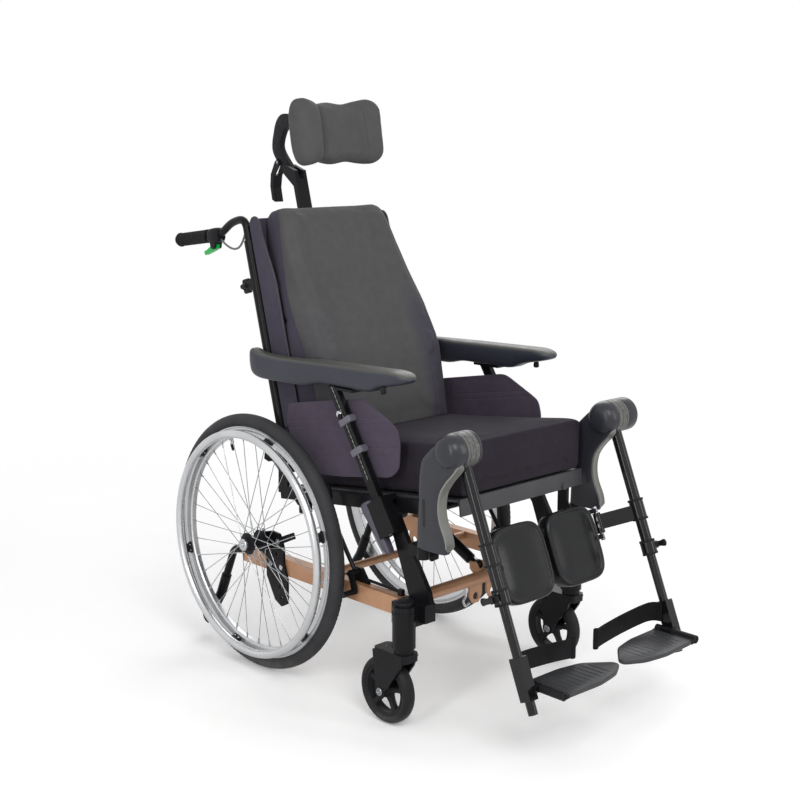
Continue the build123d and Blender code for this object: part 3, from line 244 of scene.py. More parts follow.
def slab(outline, low, high, edge, place, corner=6.0, steps=5, arc=4):
    """A plate with rounded edges: its outline, with rounded corners, is drawn in by edge (1 - sin a)
    while the depth moves from the face by edge (1 - cos a)."""
    line = rounded(outline, corner, steps)
    step = np.roll(line, -1, 0) - np.roll(line, 1, 0)
    area = np.sum(line[:, 0] * np.roll(line[:, 1], -1) - np.roll(line[:, 0], -1) * line[:, 1])
    inward = unit(np.stack([-step[:, 1], step[:, 0]], -1)) * np.sign(area)
    a = np.linspace(0, pi / 2, arc)
    inset = np.r_[edge * (1 - np.sin(a)), edge * (1 - np.sin(a))[::-1]][:, None]
    rise = edge * (1 - np.cos(a))[:, None]
    depth = np.vstack([low + rise, high - rise[::-1]])
    plan = line[None] + inset[..., None] * inward[None]
    return skin(place(plan[..., 0], plan[..., 1], depth))


def block(low, high, edge, place=at):
    """A box between two corners with rounded edges all round: a plate that stands along x."""
    (x0, y0, z0), (x1, y1, z1) = low, high
    outline = [(y0, z0), (y1, z0), (y1, z1), (y0, z1)]
    return slab(outline, x0, x1, edge, from_side(place), corner=edge * 1.6)


def lofted(middle, half_a, half_b, power, place, around=48):
    """Squircle sections along rows: middle holds (a, b, row) of each section's centre, half_a and half_b
    its reach along the first two coordinates."""
    middle = np.asarray(middle, float)
    form = squircle(around, power)
    a = middle[:, 0:1] + np.asarray(half_a, float)[:, None] * form[:, 0]
    b = middle[:, 1:2] + np.asarray(half_b, float)[:, None] * form[:, 1]
    return skin(place(a, b, np.broadcast_to(middle[:, 2:3], a.shape)))


# ------------------------------------------------------------------ objects
def mesh_of(name, shells, indices=None):
    """One mesh from several shells: their points and loops are laid one after another."""
    points, loops, totals, index = [], [], [], []
    count = 0
    for number, (shell_points, quads, polygons) in enumerate(shells):
        points.append(shell_points)
        loops.append(quads.ravel() + count)
        totals.append(np.full(len(quads), 4))
        for polygon in polygons:
            loops.append(np.asarray(polygon) + count)
            totals.append([len(polygon)])
        place = indices[number] if indices else 0
        index.append(np.full(len(quads) + len(polygons), place))
        count += len(shell_points)
    points, loops, totals = np.concatenate(points), np.concatenate(loops), np.concatenate(totals)
    mesh = bpy.data.meshes.new(name)
    mesh.vertices.add(len(points))
    mesh.vertices.foreach_set("co", points.astype(np.float32).ravel())
    mesh.loops.add(len(loops))
    mesh.loops.foreach_set("vertex_index", loops.astype(np.int32))
    mesh.polygons.add(len(totals))
    starts = np.concatenate([[0], np.cumsum(totals)[:-1]])
    mesh.polygons.foreach_set("loop_start", starts.astype(np.int32))
    mesh.polygons.foreach_set("material_index", np.concatenate(index).astype(np.int32))
    mesh.update(calc_edges=True)
    mesh.validate()
    return mesh


def placed(name, data):
    """A new object in the scene."""
    made = bpy.data.objects.new(name, data)
    bpy.context.scene.collection.objects.link(made)
    return made


def smooth(mesh, angle=32.0):
    """Smooth shading with edges sharper than an angle kept sharp."""
    mesh.polygons.foreach_set("use_smooth", np.ones(len(mesh.polygons), bool))
    mesh.set_sharp_from_angle(angle=radians(angle))
    mesh.update()


def piece(name, shells, materials, body, stands_for=(), indices=None, angle=32.0):
    """An object made of shells that rides on a body and stands for CAD nodes; materials is one name, or
    several with an index for each shell."""
    mesh = mesh_of(name, shells, indices)
    for material in [materials] if isinstance(materials, str) else materials:
        mesh.materials.append(bpy.data.materials[material])
    smooth(mesh, angle)
    return settle(placed(name, mesh), body, stands_for)


def settle(made, body, stands_for=()):
    """The frame's words about a finished piece."""
    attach(made, body)
    if stands_for:
        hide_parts(*stands_for)
    return made


def as_mesh(source, name):
    """The mesh that an object shows with its modifiers, as a new mesh."""
    depsgraph = bpy.context.evaluated_depsgraph_get()
    made = bpy.data.meshes.new_from_object(source.evaluated_get(depsgraph))
    made.name = name
    return made


def places(mesh):
    """The points of a mesh as an array."""
    co = np.empty(len(mesh.vertices) * 3, np.float32)
    mesh.vertices.foreach_get("co", co)
    return co.reshape(-1, 3).astype(float)


def filled(name, shells, voxel, pressure, reach, keep):
    """The mesh of a padded form: the shells are remeshed in voxels and blown up for 20 frames by a cloth
    pressure without gravity, no point moves more than reach, keep holds them off their neighbours, and
    one subdivision follows."""
    rough = placed(name + ".rough", mesh_of(name, shells))
    remesh = rough.modifiers.new("Voxels", "REMESH")
    remesh.mode = "VOXEL"
    remesh.voxel_size = voxel
    bpy.context.view_layer.update()
    form = placed(name + ".form", as_mesh(rough, name + ".form"))
    start = places(form.data)
    moved = start
    cloth = form.modifiers.new("Pressure", "CLOTH")
    cloth.settings.quality = 4
    cloth.settings.use_pressure = True
    cloth.settings.uniform_pressure_force = pressure
    cloth.settings.effector_weights.gravity = 0
    cloth.collision_settings.use_collision = False
    for number in range(1, 21):
        bpy.context.scene.frame_set(number)
    swollen = as_mesh(form, name + ".swollen")
    step = places(swollen) - start
    length = np.maximum(np.linalg.norm(step, axis=1, keepdims=True), 1e-9)
    moved = start + step * np.minimum(1, reach / length)
    form.modifiers.remove(cloth)
    bpy.context.scene.frame_set(1)
    bpy.data.meshes.remove(swollen)
    form.data.vertices.foreach_set("co", keep(moved).astype(np.float32).ravel())
    form.data.update()
    finer = form.modifiers.new("Finer", "SUBSURF")
    finer.levels = finer.render_levels = 1
    bpy.context.view_layer.update()
    result = as_mesh(form, name)
    for scratch in (rough, form):
        old = scratch.data
        bpy.data.objects.remove(scratch)
        bpy.data.meshes.remove(old)
    return result


def near_line(points, line):
    """For each point, its distance to the nearest point of a finely sampled line."""
    found = np.full(len(points), np.inf)
    for start in range(0, len(points), 4000):
        part = points[start:start + 4000, None] - line[None]
        found[start:start + 4000] = np.sqrt((part**2).sum(-1).min(1))
    return found


def sewn(mesh, lines, depth, width):
    """Sewn channels: every point sinks along its normal by depth * exp(-(distance / width)^2), with its
    distance to the nearest line."""
    mesh.update()
    normals = np.empty(len(mesh.vertices) * 3, np.float32)
    mesh.vertices.foreach_get("normal", normals)
    points = places(mesh)
    gap = near_line(points, np.concatenate(lines))
    sink = depth * np.exp(-(gap / width)**2)
    points -= normals.reshape(-1, 3) * sink[:, None]
    mesh.vertices.foreach_set("co", points.astype(np.float32).ravel())
    mesh.update()


def on_surface(mesh, line, lift=0.0):
    """Points of a line moved to the nearest place on a mesh, and lifted off it."""
    faces = [tuple(face.vertices) for face in mesh.polygons]
    tree = BVHTree.FromPolygons([Vector(point) for point in places(mesh)], faces)
    near = [tree.find_nearest(Vector(point))[:2] for point in line]
    return np.array([np.array(spot) + np.array(normal) * lift for spot, normal in near])


def drawing(points):
    """Frame metres as drawing millimetres."""
    return np.asarray(points) * 1000 - (0, AXLE_Y, 0)


def marked(mesh, name, values):
    """A number for each point of a mesh, kept under a name that materials read."""
    attribute = mesh.attributes.new(name, "FLOAT", "POINT")
    attribute.data.foreach_set("value", np.asarray(values, np.float32))


def soft_piece(name, mesh, materials, body, stands_for):
    """An object of a padded form."""
    for material in materials:
        mesh.materials.append(bpy.data.materials[material])
    mesh.polygons.foreach_set("use_smooth", np.ones(len(mesh.polygons), bool))
    mesh.update()
    made = settle(placed(name, mesh), body, stands_for)
    return made


# ------------------------------------------------------------------ finishes
def colour(red, green, blue):
    """A colour from 0 to 255 as the eye sees it, as linear light: c / 12.92 below 0.04045, otherwise
    ((c + 0.055) / 1.055) to the power 2.4."""
    c = np.array([red, green, blue]) / 255
    return tuple(float(v) for v in np.where(c <= 0.04045, c / 12.92, ((c + 0.055) / 1.055)**2.4))


class Nodes:
    """A node tree, with short words for adding nodes and joining them."""

    def __init__(self, tree):
        self.tree = tree

    def fed(self, made, inputs):
        for key, value in (inputs or {}).items():
            if isinstance(value, bpy.types.NodeSocket):
                self.tree.links.new(value, made.inputs[key])
            else:
                made.inputs[key].default_value = value
        return made

    def add(self, kind, inputs=None, **settings):
        made = self.tree.nodes.new("ShaderNode" + kind)
        for key, value in settings.items():
            setattr(made, key, value)
        return self.fed(made, inputs)

    def math(self, operation, *values):
        return self.add("Math", dict(enumerate(values)), operation=operation).outputs[0]

    def vector(self, operation, *values):
        return self.add("VectorMath", dict(enumerate(values)), operation=operation).outputs[0]

    def mix(self, share, first, second):
        return self.add("Mix", {0: share, 6: first, 7: second}, data_type="RGBA").outputs[2]

    def range(self, value, low, high, out_low, out_high):
        return self.add("MapRange", {0: value, 1: low, 2: high, 3: out_low, 4: out_high}).outputs[0]

    def noise(self, place, scale, detail=2.0):
        return self.add("TexNoise", {"Vector": place, "Scale": scale, "Detail": detail}).outputs[0]

    def place(self):
        return self.add("TexCoord").outputs["Object"]

    def group(self, name, inputs=None):
        made = self.tree.nodes.new("ShaderNodeGroup")
        made.node_tree = bpy.data.node_groups[name]
        return self.fed(made, inputs).outputs


def effect(name, inputs, outputs, build):
    """A shared node group; inputs are (name, kind, value), outputs are (name, kind), and build returns
    the socket for each output."""
    tree = bpy.data.node_groups.new(name, "ShaderNodeTree")
    for label, kind, value in inputs:
        socket = tree.interface.new_socket(name=label, in_out="INPUT", socket_type="NodeSocket" + kind)
        socket.default_value = value
    for label, kind in outputs:
        tree.interface.new_socket(name=label, in_out="OUTPUT", socket_type="NodeSocket" + kind)
    start, end = tree.nodes.new("NodeGroupInput"), tree.nodes.new("NodeGroupOutput")
    for label, socket in build(Nodes(tree), start.outputs).items():
        tree.links.new(socket, end.inputs[label])


def moulded_grain(nodes, given):
    """Fine bumps: two noises, the second three times finer and weaker."""
    place = nodes.place()
    broad = nodes.noise(place, given["Scale"], 1.0)
    fine = nodes.noise(place, nodes.math("MULTIPLY", given["Scale"], 3.1), 1.0)
    return {"Height": nodes.math("MULTIPLY_ADD", fine, 0.4, nodes.math("MULTIPLY", broad, 0.6))}


def woven_threads(nodes, given):
    """Threads over and under: the sines of two coordinates are multiplied, on whichever plane the
    surface faces; shade is a slow drift of the thread's lightness."""
    coordinates = nodes.add("TexCoord")
    scaled = nodes.add("VectorMath", {0: coordinates.outputs["Object"],
                                      "Scale": nodes.math("MULTIPLY", given["Threads"], pi)},
                       operation="SCALE").outputs[0]
    waves = nodes.add("SeparateXYZ", {0: nodes.vector("SINE", scaled)}).outputs
    facing = nodes.add("SeparateXYZ", {0: nodes.vector("ABSOLUTE", coordinates.outputs["Normal"])}).outputs
    total = None
    for one, two, face in ((0, 1, 2), (1, 2, 0), (0, 2, 1)):
        part = nodes.math("MULTIPLY", nodes.math("MULTIPLY", waves[one], waves[two]), facing[face])
        total = part if total is None else nodes.math("ADD", total, part)
    height = nodes.math("MULTIPLY_ADD", total, 0.5, 0.5)
    slow = nodes.noise(coordinates.outputs["Object"], 45.0, 3.0)
    return {"Height": height, "Shade": nodes.math("MULTIPLY_ADD", height, 0.45,
                                                   nodes.math("MULTIPLY", slow, 0.55))}


def leather_pores(nodes, given):
    """Creased skin: distance to the nearest Voronoi edge, softened, over a slow noise."""
    place = nodes.place()
    cells = nodes.add("TexVoronoi", {"Vector": place, "Scale": given["Scale"]},
                      feature="DISTANCE_TO_EDGE").outputs["Distance"]
    crease = nodes.range(cells, 0.0, 0.25, 0.0, 1.0)
    return {"Height": nodes.math("MULTIPLY_ADD", nodes.noise(place, 60.0), 0.4, crease)}


def drifting_colour(nodes, given):
    """Two colours, mixed by a slow noise."""
    share = nodes.range(nodes.noise(nodes.place(), given["Scale"], 4.0), 0.32, 0.68, 0.0, 1.0)
    return {"Color": nodes.mix(share, given["First"], given["Second"])}


def handled_gloss(nodes, given):
    """Roughness that drifts between two values, with faint finer smears."""
    place = nodes.place()
    slow = nodes.noise(place, given["Scale"], 3.0)
    smear = nodes.noise(nodes.vector("MULTIPLY", place, (1.0, 6.0, 1.0)), 40.0, 2.0)
    share = nodes.math("MULTIPLY_ADD", smear, 0.3, nodes.math("MULTIPLY", slow, 0.7))
    return {"Roughness": nodes.range(share, 0.3, 0.7, given["Low"], given["High"])}


def floor_dust(nodes, given):
    """Pale dust low down: strongest at the floor, gone at a height, broken up by noise."""
    place = nodes.place()
    height = nodes.add("SeparateXYZ", {0: place}).outputs[2]
    near = nodes.range(height, 0.0, given["Height"], given["Amount"], 0.0)
    broken = nodes.math("MULTIPLY", near, nodes.range(nodes.noise(place, 30.0, 4.0), 0.4, 0.65, 0.2, 1.0))
    return {"Color": nodes.mix(broken, given["Color"], (0.34, 0.32, 0.29, 1.0))}


def turning_lines(nodes, given):
    """Fine rings round a wheel's axle: a noise of the distance from the axle, and a little of the
    place, as the lathe leaves them."""
    moved = nodes.add("Mapping", {"Vector": nodes.place(), "Location": (0.0, -AXLE_Y / 1000, -AXLE_Z / 1000),
                                  "Scale": (0.0, 1.0, 1.0)}).outputs[0]
    reach = nodes.add("VectorMath", {0: moved}, operation="LENGTH").outputs["Value"]
    rings = nodes.add("TexNoise", {"W": nodes.math("MULTIPLY", reach, given["Scale"]), "Scale": 1.0},
                      noise_dimensions="1D").outputs[0]
    return {"Height": rings}


def shared_effects():
    effect("Moulded grain", [("Scale", "Float", 900.0)], [("Height", "Float")], moulded_grain)
    effect("Woven threads", [("Threads", "Float", 700.0)], [("Height", "Float"), ("Shade", "Float")],
           woven_threads)
    effect("Leather pores", [("Scale", "Float", 600.0)], [("Height", "Float")], leather_pores)
    effect("Drifting colour", [("First", "Color", (0.1, 0.1, 0.1, 1)),
                               ("Second", "Color", (0.2, 0.2, 0.2, 1)), ("Scale", "Float", 12.0)],
           [("Color", "Color")], drifting_colour)
    effect("Handled gloss", [("Scale", "Float", 18.0), ("Low", "Float", 0.3), ("High", "Float", 0.5)],
           [("Roughness", "Float")], handled_gloss)
    effect("Floor dust", [("Color", "Color", (0.1, 0.1, 0.1, 1)), ("Height", "Float", 0.12),
                          ("Amount", "Float", 0.25)], [("Color", "Color")], floor_dust)
    effect("Turning lines", [("Scale", "Float", 3000.0)], [("Height", "Float")], turning_lines)


def finish(name, first, second, gloss, drift=14.0, bump="Moulded grain", scale=900.0, depth=0.0001,
           strength=0.25, edge=0.0, dust=0.0, dusty_height=0.12, **fixed):
    """A material: drifting colour, handled gloss and a bump from a shared effect; edge is the radius that
    softens a solid's sharp edges, and fixed holds plain values of the shader's own sockets."""
    material = bpy.data.materials.new(name)
    material.use_nodes = True
    nodes = Nodes(material.node_tree)
    shader = material.node_tree.nodes["Principled BSDF"]
    join = material.node_tree.links.new
    tone = nodes.group("Drifting colour", {"First": (*first, 1), "Second": (*second, 1), "Scale": drift})
    shade = tone["Color"]
    relief = nodes.group(bump, {"Threads" if bump == "Woven threads" else "Scale": scale})
    if bump == "Woven threads":
        lighter = nodes.range(relief["Shade"], 0.2, 0.8, 0.84, 1.16)
        shade = nodes.add("VectorMath", {0: shade, "Scale": lighter}, operation="SCALE").outputs[0]
    if dust:
        shade = nodes.group("Floor dust", {"Color": shade, "Amount": dust, "Height": dusty_height})["Color"]
    join(shade, shader.inputs["Base Color"])
    rough = nodes.group("Handled gloss", {"Low": gloss[0], "High": gloss[1]})
    join(rough["Roughness"], shader.inputs["Roughness"])
    inputs = {"Height": relief["Height"], "Strength": strength, "Distance": depth}
    if edge:
        inputs["Normal"] = nodes.add("Bevel", {"Radius": edge}, samples=4).outputs[0]
    join(nodes.add("Bump", inputs).outputs[0], shader.inputs["Normal"])
    for label, value in fixed.items():
        shader.inputs[label.replace("_", " ")].default_value = value
    return material, nodes, shader


def colour_setting(label, text, red, green, blue):
    """A colour setting with its default written as the eye sees it."""
    return bpy.props.FloatVectorProperty(name=label, description=text, subtype="COLOR", size=3, min=0.0,
                                         max=1.0, default=colour(red, green, blue))


def length_setting(label, text, millimetres, low, high):
    """A length setting in metres, written here in millimetres."""
    return bpy.props.FloatProperty(name=label, description=text, subtype="DISTANCE", unit="LENGTH",
                                   precision=4, default=millimetres / 1000, min=low / 1000,
                                   max=high / 1000)


class ChairColours(bpy.types.PropertyGroup):
    """Colours of the chair's finishes."""

    rails: colour_setting("Rails", "Powder coat of side rails and crossbars", 186, 140, 106)
    rails_deep: colour_setting("Rails, deeper", "The same coat where it is thicker", 172, 126, 92)
    frame: colour_setting("Frame", "Black coat of tubes and brackets", 15, 15, 17)
    plastic: colour_setting("Plastic", "Moulded black plastic", 24, 24, 27)
    # The arm pads' side colour is a darker, bluer copy of the top's grey: painted shade where the pad turns
    # down.
    grey_plastic: colour_setting("Grey plastic", "Moulded tops of the arm pads", 76, 76, 73)
    pad_side_shade: colour_setting("Arm pad sides", "Moulded sides of the arm pads", 50, 52, 62)
    hanger: colour_setting("Hangers", "Moulded leg hangers and knee housings", 43, 44, 50)
    trim: colour_setting("Trim", "Pale front faces of the leg hangers", 128, 128, 124)
    seat: colour_setting("Seat", "Stretch cloth of the seat cushion", 47, 42, 50)
    back: colour_setting("Back", "Middle cloth of the back cushion and headrest", 80, 80, 81)
    # The gusset colour is the real side cloth of the back cushion and its cover; the back cushion's lower
    # slopes also take it as painted shade.
    gusset_and_shade: colour_setting("Gusset", "Side cloth of the back cushion and its cover", 69, 65, 78)
    panel: colour_setting("Panel", "Cloth of the side panels", 76, 68, 82)
    calf: colour_setting("Calf pads", "Moulded skin of the calf pads", 17, 18, 20)
    trigger: colour_setting("Trigger", "Release triggers under the grips", 18, 190, 84)
    alloy: colour_setting("Alloy", "Rims and handrims", 205, 206, 208)
    tyre: colour_setting("Tyre", "Rear tyre rubber", 44, 44, 46)


class ChairSizes(bpy.types.PropertyGroup):
    """Sizes of details that the frame leaves open."""

    spoke_gauge: length_setting("Spoke", "Radius of a spoke at its middle", 0.95, 0.5, 2)
    tread_depth: length_setting("Tread", "Depth of the tyre's grooves", 0.8, 0, 2)
    voxel: length_setting("Cushion voxel", "Size of the voxels that cushions are made from", 5.5, 3, 10)
    seam_depth: length_setting("Seam depth", "Depth of sewn channels", 2.2, 0, 6)
    seam_width: length_setting("Seam width", "Half width of sewn channels", 3.0, 1, 8)
    pressure: bpy.props.FloatProperty(name="Filling", description="Cloth pressure in the cushions",
                                      default=4.0, min=0.0, max=12.0)


def settings():
    """The chair's colours and sizes in this scene."""
    return bpy.context.scene.chair_colours, bpy.context.scene.chair_sizes


def darker(tone, share):
    """A colour scaled towards black."""
    return tuple(share * c for c in tone)


def make_finishes():
    """Every material of the chair."""
    shared_effects()
    tone, _ = settings()
    edge = 0.0008
    finish("Bronze coat", tone.rails, tone.rails_deep, (0.34, 0.46), scale=1400.0, depth=0.00008,
           edge=edge, Metallic=0.35, Coat_Weight=0.25, Coat_Roughness=0.25)
    finish("Black coat", tone.frame, darker(tone.frame, 1.7), (0.24, 0.36), scale=1500.0, depth=0.00006,
           edge=edge, Specular_IOR_Level=0.15)
    finish("Black moulding", tone.plastic, darker(tone.plastic, 1.4), (0.42, 0.56), scale=1800.0,
           depth=0.0001, edge=edge, dust=0.04, Specular_IOR_Level=0.14)
    finish("Grey moulding", tone.hanger, darker(tone.hanger, 0.84), (0.26, 0.38), scale=1700.0,
           depth=0.00008, drift=20.0, Specular_IOR_Level=0.4)
    finish("Pale trim", tone.trim, darker(tone.trim, 0.86), (0.32, 0.44), scale=1700.0, depth=0.0001,
           Metallic=0.2)
    finish("Polished metal", colour(198, 200, 203), colour(176, 178, 181), (0.08, 0.18), scale=500.0,
           depth=0.00004, edge=0.0004, Metallic=1.0)
    finish("Drawn steel", colour(150, 152, 155), colour(132, 134, 138), (0.2, 0.32), scale=900.0,
           depth=0.00005, Metallic=1.0)
    finish("Spoke steel", colour(188, 190, 192), colour(160, 162, 165), (0.2, 0.3), scale=900.0,
           depth=0.00004, Metallic=1.0)
    finish("Turned alloy", tone.alloy, darker(tone.alloy, 0.9), (0.24, 0.34), bump="Turning lines",
           scale=6000.0, depth=0.00005, strength=0.3, Metallic=0.85)
    finish("Tyre rubber", tone.tyre, darker(tone.tyre, 1.35), (0.55, 0.72), scale=1300.0, depth=0.00015,
           dust=0.2, dusty_height=0.06, Specular_IOR_Level=0.25)
    finish("Castor rubber", colour(22, 22, 24), colour(31, 31, 33), (0.4, 0.55), scale=1300.0,
           depth=0.0001, dust=0.15, dusty_height=0.04, Specular_IOR_Level=0.2)
    finish("Seat cloth", tone.seat, darker(tone.seat, 0.85), (0.78, 0.9), bump="Woven threads",
           scale=850.0, depth=0.0004, strength=0.5, drift=7.0, Sheen_Weight=0.04, Sheen_Roughness=0.5,
           Specular_IOR_Level=0.08)
    finish("Cover cloth", tone.gusset_and_shade, darker(tone.gusset_and_shade, 0.86), (0.68, 0.82), bump="Woven threads",
           scale=620.0, depth=0.0004, strength=0.5, drift=9.0, Sheen_Weight=0.05, Sheen_Roughness=0.5,
           Specular_IOR_Level=0.12)
    finish("Panel cloth", tone.panel, darker(tone.panel, 0.86), (0.66, 0.8), bump="Woven threads",
           scale=620.0, depth=0.0004, strength=0.5, drift=11.0, Sheen_Weight=0.05, Sheen_Roughness=0.5,
           Specular_IOR_Level=0.12)
    finish("Webbing", colour(18, 18, 20), colour(28, 28, 30), (0.7, 0.85), bump="Woven threads",
           scale=480.0, depth=0.0006, strength=0.7, Specular_IOR_Level=0.12)
    finish("Calf skin", tone.calf, darker(tone.calf, 1.2), (0.22, 0.3), bump="Leather pores",
           scale=900.0, depth=0.00003, strength=0.2, Specular_IOR_Level=0.28)
    finish("Headrest cloth", tone.back, darker(tone.back, 0.92), (0.7, 0.84), bump="Woven threads",
           scale=900.0, depth=0.0003, strength=0.4, drift=6.0, Sheen_Weight=0.06, Sheen_Roughness=0.5,
           Specular_IOR_Level=0.12)
    finish("Gloss coat", tone.frame, darker(tone.frame, 1.4), (0.1, 0.16), scale=900.0, depth=0.00002,
           edge=edge, Specular_IOR_Level=0.35)
    finish("Mottled grey", colour(104, 103, 100), colour(70, 70, 70), (0.34, 0.5), drift=140.0,
           scale=1500.0, Metallic=0.15)
    finish("Clip plastic", colour(104, 101, 112), colour(90, 88, 98), (0.4, 0.5), scale=1700.0)
    finish("Fairing plastic", colour(80, 76, 90), colour(66, 63, 76), (0.38, 0.5), scale=1700.0)
    finish("Apron vinyl", colour(58, 58, 62), colour(50, 50, 54), (0.42, 0.55), bump="Leather pores",
           scale=900.0, depth=0.00008, edge=edge)
    finish("Footplate plastic", colour(52, 53, 56), colour(42, 43, 46), (0.36, 0.5), scale=1500.0,
           dust=0.15, dusty_height=0.2, Specular_IOR_Level=0.35)
    finish("Grip rubber", colour(18, 18, 20), colour(27, 27, 29), (0.5, 0.66), scale=1700.0,
           Specular_IOR_Level=0.15)
    finish("Cable sheath", colour(108, 108, 112), colour(92, 92, 96), (0.35, 0.5), scale=1500.0)
    finish("Green plastic", tone.trigger, darker(tone.trigger, 0.8), (0.25, 0.35), scale=1500.0,
           depth=0.00005)
    # Near black laid in holes, slots and grooves: painted shade in recesses.
    finish("Dark inset", colour(9, 9, 10), colour(14, 14, 15), (0.6, 0.75), scale=1500.0)
    finish("Thread", colour(58, 56, 64), colour(44, 42, 50), (0.6, 0.75), bump="Woven threads",
           scale=1800.0, depth=0.0003)
    back_cloth(tone)
    arm_foam(tone)


def second_tone(nodes, shade):
    """The drifting colour of the part of a piece that differs from its main one."""
    return nodes.group("Drifting colour", {"First": (*shade, 1), "Second": (*darker(shade, 0.86), 1),
                                           "Scale": 9.0})["Color"]


def arm_foam(tone):
    """Skin of the arm pads: the pale top passes into a bluer, darker grey where the surface turns down,
    painted shade on the sides.
    """
    material, nodes, shader = finish("Arm foam", tone.grey_plastic, darker(tone.grey_plastic, 0.88),
                                     (0.34, 0.48), bump="Leather pores", scale=1500.0, depth=0.00006,
                                     strength=0.25, drift=9.0, Specular_IOR_Level=0.35)
    top = shader.inputs["Base Color"].links[0].from_socket
    facing = nodes.add("SeparateXYZ", {0: nodes.add("TexCoord").outputs["Normal"]}).outputs[2]
    # Painted shade: where the surface turns down, the sides take the darker side colour.
    shade = nodes.mix(nodes.range(facing, 0.25, 0.75, 0.0, 1.0), second_tone(nodes, tone.pad_side_shade), top)
    material.node_tree.links.new(shade, shader.inputs["Base Color"])


def back_cloth(tone):
    """Spacer cloth of the back cushion: the grey middle passes into the gusset colour where the attribute
    'gusset_and_shade' rises to 1, which holds the side walls' real gusset cloth and painted shade on the
    lower slopes."""
    material, nodes, shader = finish("Back cloth", tone.back, darker(tone.back, 0.94), (0.74, 0.88),
                                     bump="Woven threads", scale=560.0, depth=0.0005, strength=0.55,
                                     drift=6.0, Sheen_Weight=0.06, Sheen_Roughness=0.5,
                                     Specular_IOR_Level=0.12)
    links = material.node_tree.links
    plain = shader.inputs["Base Color"].links[0].from_socket
    share = nodes.add("Attribute", attribute_name="gusset_and_shade").outputs["Fac"]
    links.new(nodes.mix(share, plain, second_tone(nodes, tone.gusset_and_shade)), shader.inputs["Base Color"])


def dress(finish_name, *node_names):
    """CAD nodes given a finish in their own material slots."""
    for name in node_names:
        for slot in frame["nodes"][name].material_slots:
            slot.material = bpy.data.materials[finish_name]


# ------------------------------------------------------------------ rear wheels
SPOKES = 36
SPOKE_LEAD = 55.0           # degrees that a spoke runs round between hub and rim
HUB_IN, HUB_OUT = 263.5, 300.5     # middle planes of the two flanges
RIM_INNER_R = 251.0
HANDRIM_X, HANDRIM_R = 310.0, 262.0


def round_axle(x, radius, angle):
    """A point round the rear axle: radius (cos, sin) of the angle in degrees, at x."""
    return (x, radius * cos(radians(angle)), AXLE_Z + radius * sin(radians(angle)))


def tyre(tread):
    """Section radius 17 about the tyre's middle ring, less exp(-(a / 2)^2) grooves at three angles a of
    the crown and blocks cut across both shoulders; it rests on the rim at 135 degrees from the crown."""
    section = 17.0
    a = np.linspace(-135, 135, 67)
    blocks = 150
    t = np.linspace(0, 2 * pi, blocks * 4, endpoint=False)
    grooves = sum(np.exp(-((a - middle) / 2.0)**2) for middle in (-21, 0, 21))
    shoulder = ease(abs(a), 27, 31) * (1 - ease(abs(a), 52, 60))
    bead = 0.5 * np.exp(-((abs(a) - 104) / 3.5)**2)
    gap = np.tile([0.0, 0.0, 1.0, 1.0], blocks)
    reach = section - tread * grooves[:, None] - 0.8 * tread * shoulder[:, None] * gap + bead[:, None]
    a = np.radians(a)[:, None]
    radius = WHEEL_R - section + reach * np.cos(a)
    return skin(at(WHEEL_X + reach * np.sin(a), radius * np.cos(t), AXLE_Z + radius * np.sin(t)), ring=True)


def rim():
    """Double-walled rim: a closed profile with brake-track walls, turned about the axle."""
    half = [(0, 0.0), (5.5, 0.0), (8.6, 3.2), (10.6, 10.5), (12.3, 14.5), (12.3, 20.0), (11.6, 21.0),
            (12.4, 22.2), (12.4, 26.8), (10.8, 28.4), (9.6, 26.2), (0, 25.2)]
    outline = [(x, RIM_INNER_R + r) for x, r in half]
    outline += [(-x, r) for x, r in outline[-2:0:-1]]
    return turned(rounded(outline, 1.4, 3), (WHEEL_X, 0, AXLE_Z), around=200, ring=True)


def spokes(gauge):
    """Crossed spokes: straight lines from flange to rim, thicker at both ends, with a nipple in the rim."""
    shells = []
    for number in range(SPOKES):
        x = HUB_IN if number % 2 else HUB_OUT
        angle = 360 / SPOKES * number
        lead = SPOKE_LEAD if number % 4 < 2 else -SPOKE_LEAD
        start, end = round_axle(x, 23.5, angle + lead), round_axle(WHEEL_X, RIM_INNER_R + 1, angle)
        line = np.asarray(start) + np.outer([0, 0.04, 0.1, 0.9, 0.945, 0.95, 1.0],
                                            np.subtract(end, start))
        shells.append(tube(line, np.array([1.25, 1.25, 1, 1, 1, 2.0, 2.1]) * gauge, 8))
        head = turned([(-2.6, 0.6), (-2.4, 2.0), (-1.5, 2.2), (-1.5, 0.6)], start, around=10)
        shells.append(head)
    return shells


def hub():
    """Hub shell: two flanges and a waisted barrel, turned about the axle, hollow for the axle pin."""
    shape = [(0, 6.5), (0, 24), (1, 26), (3, 26), (3.6, 14), (9, 12.2), (28, 12.2), (36.2, 14), (37, 26),
             (40, 26), (41, 17.5), (50, 17), (51, 15.5), (51, 6.5)]
    return turned(rounded(shape, 0.7, 3), (262.0, 0, AXLE_Z), around=72, ring=True)


def hub_cap():
    """Bright cap over the axle's end with its push button."""
    shape = [(0, 0.6), (0, 14.5), (4, 14.5), (5.6, 13), (5.8, 7), (4.6, 6.2), (4.6, 4.6), (7.2, 4.2),
             (7.6, 3.2), (7.6, 0.6)]
    return turned(rounded(shape, 0.5, 3, closed=False), (312.0, 0, AXLE_Z), around=56)


def valve():
    """Valve stem and its black cap, pointing from the rim to the axle."""
    start = round_axle(WHEEL_X, RIM_INNER_R + 1, 68.0)
    inward = unit(np.subtract((WHEEL_X, 0, AXLE_Z), start))
    stem = turned([(0, 2.6), (16, 2.6), (16.2, 0.5)], start, inward, around=16)
    cap = turned([(14, 0.5), (14, 3.4), (27, 3.2), (30, 1.8), (30.2, 0.4)], start, inward, around=16)
    return [stem, cap]


def handrim_ring():
    """Round tube turned about the axle."""
    section = squircle(28, 2) * 9.5 + (0, HANDRIM_R)
    return turned(section, (HANDRIM_X, 0, AXLE_Z), around=220, ring=True)


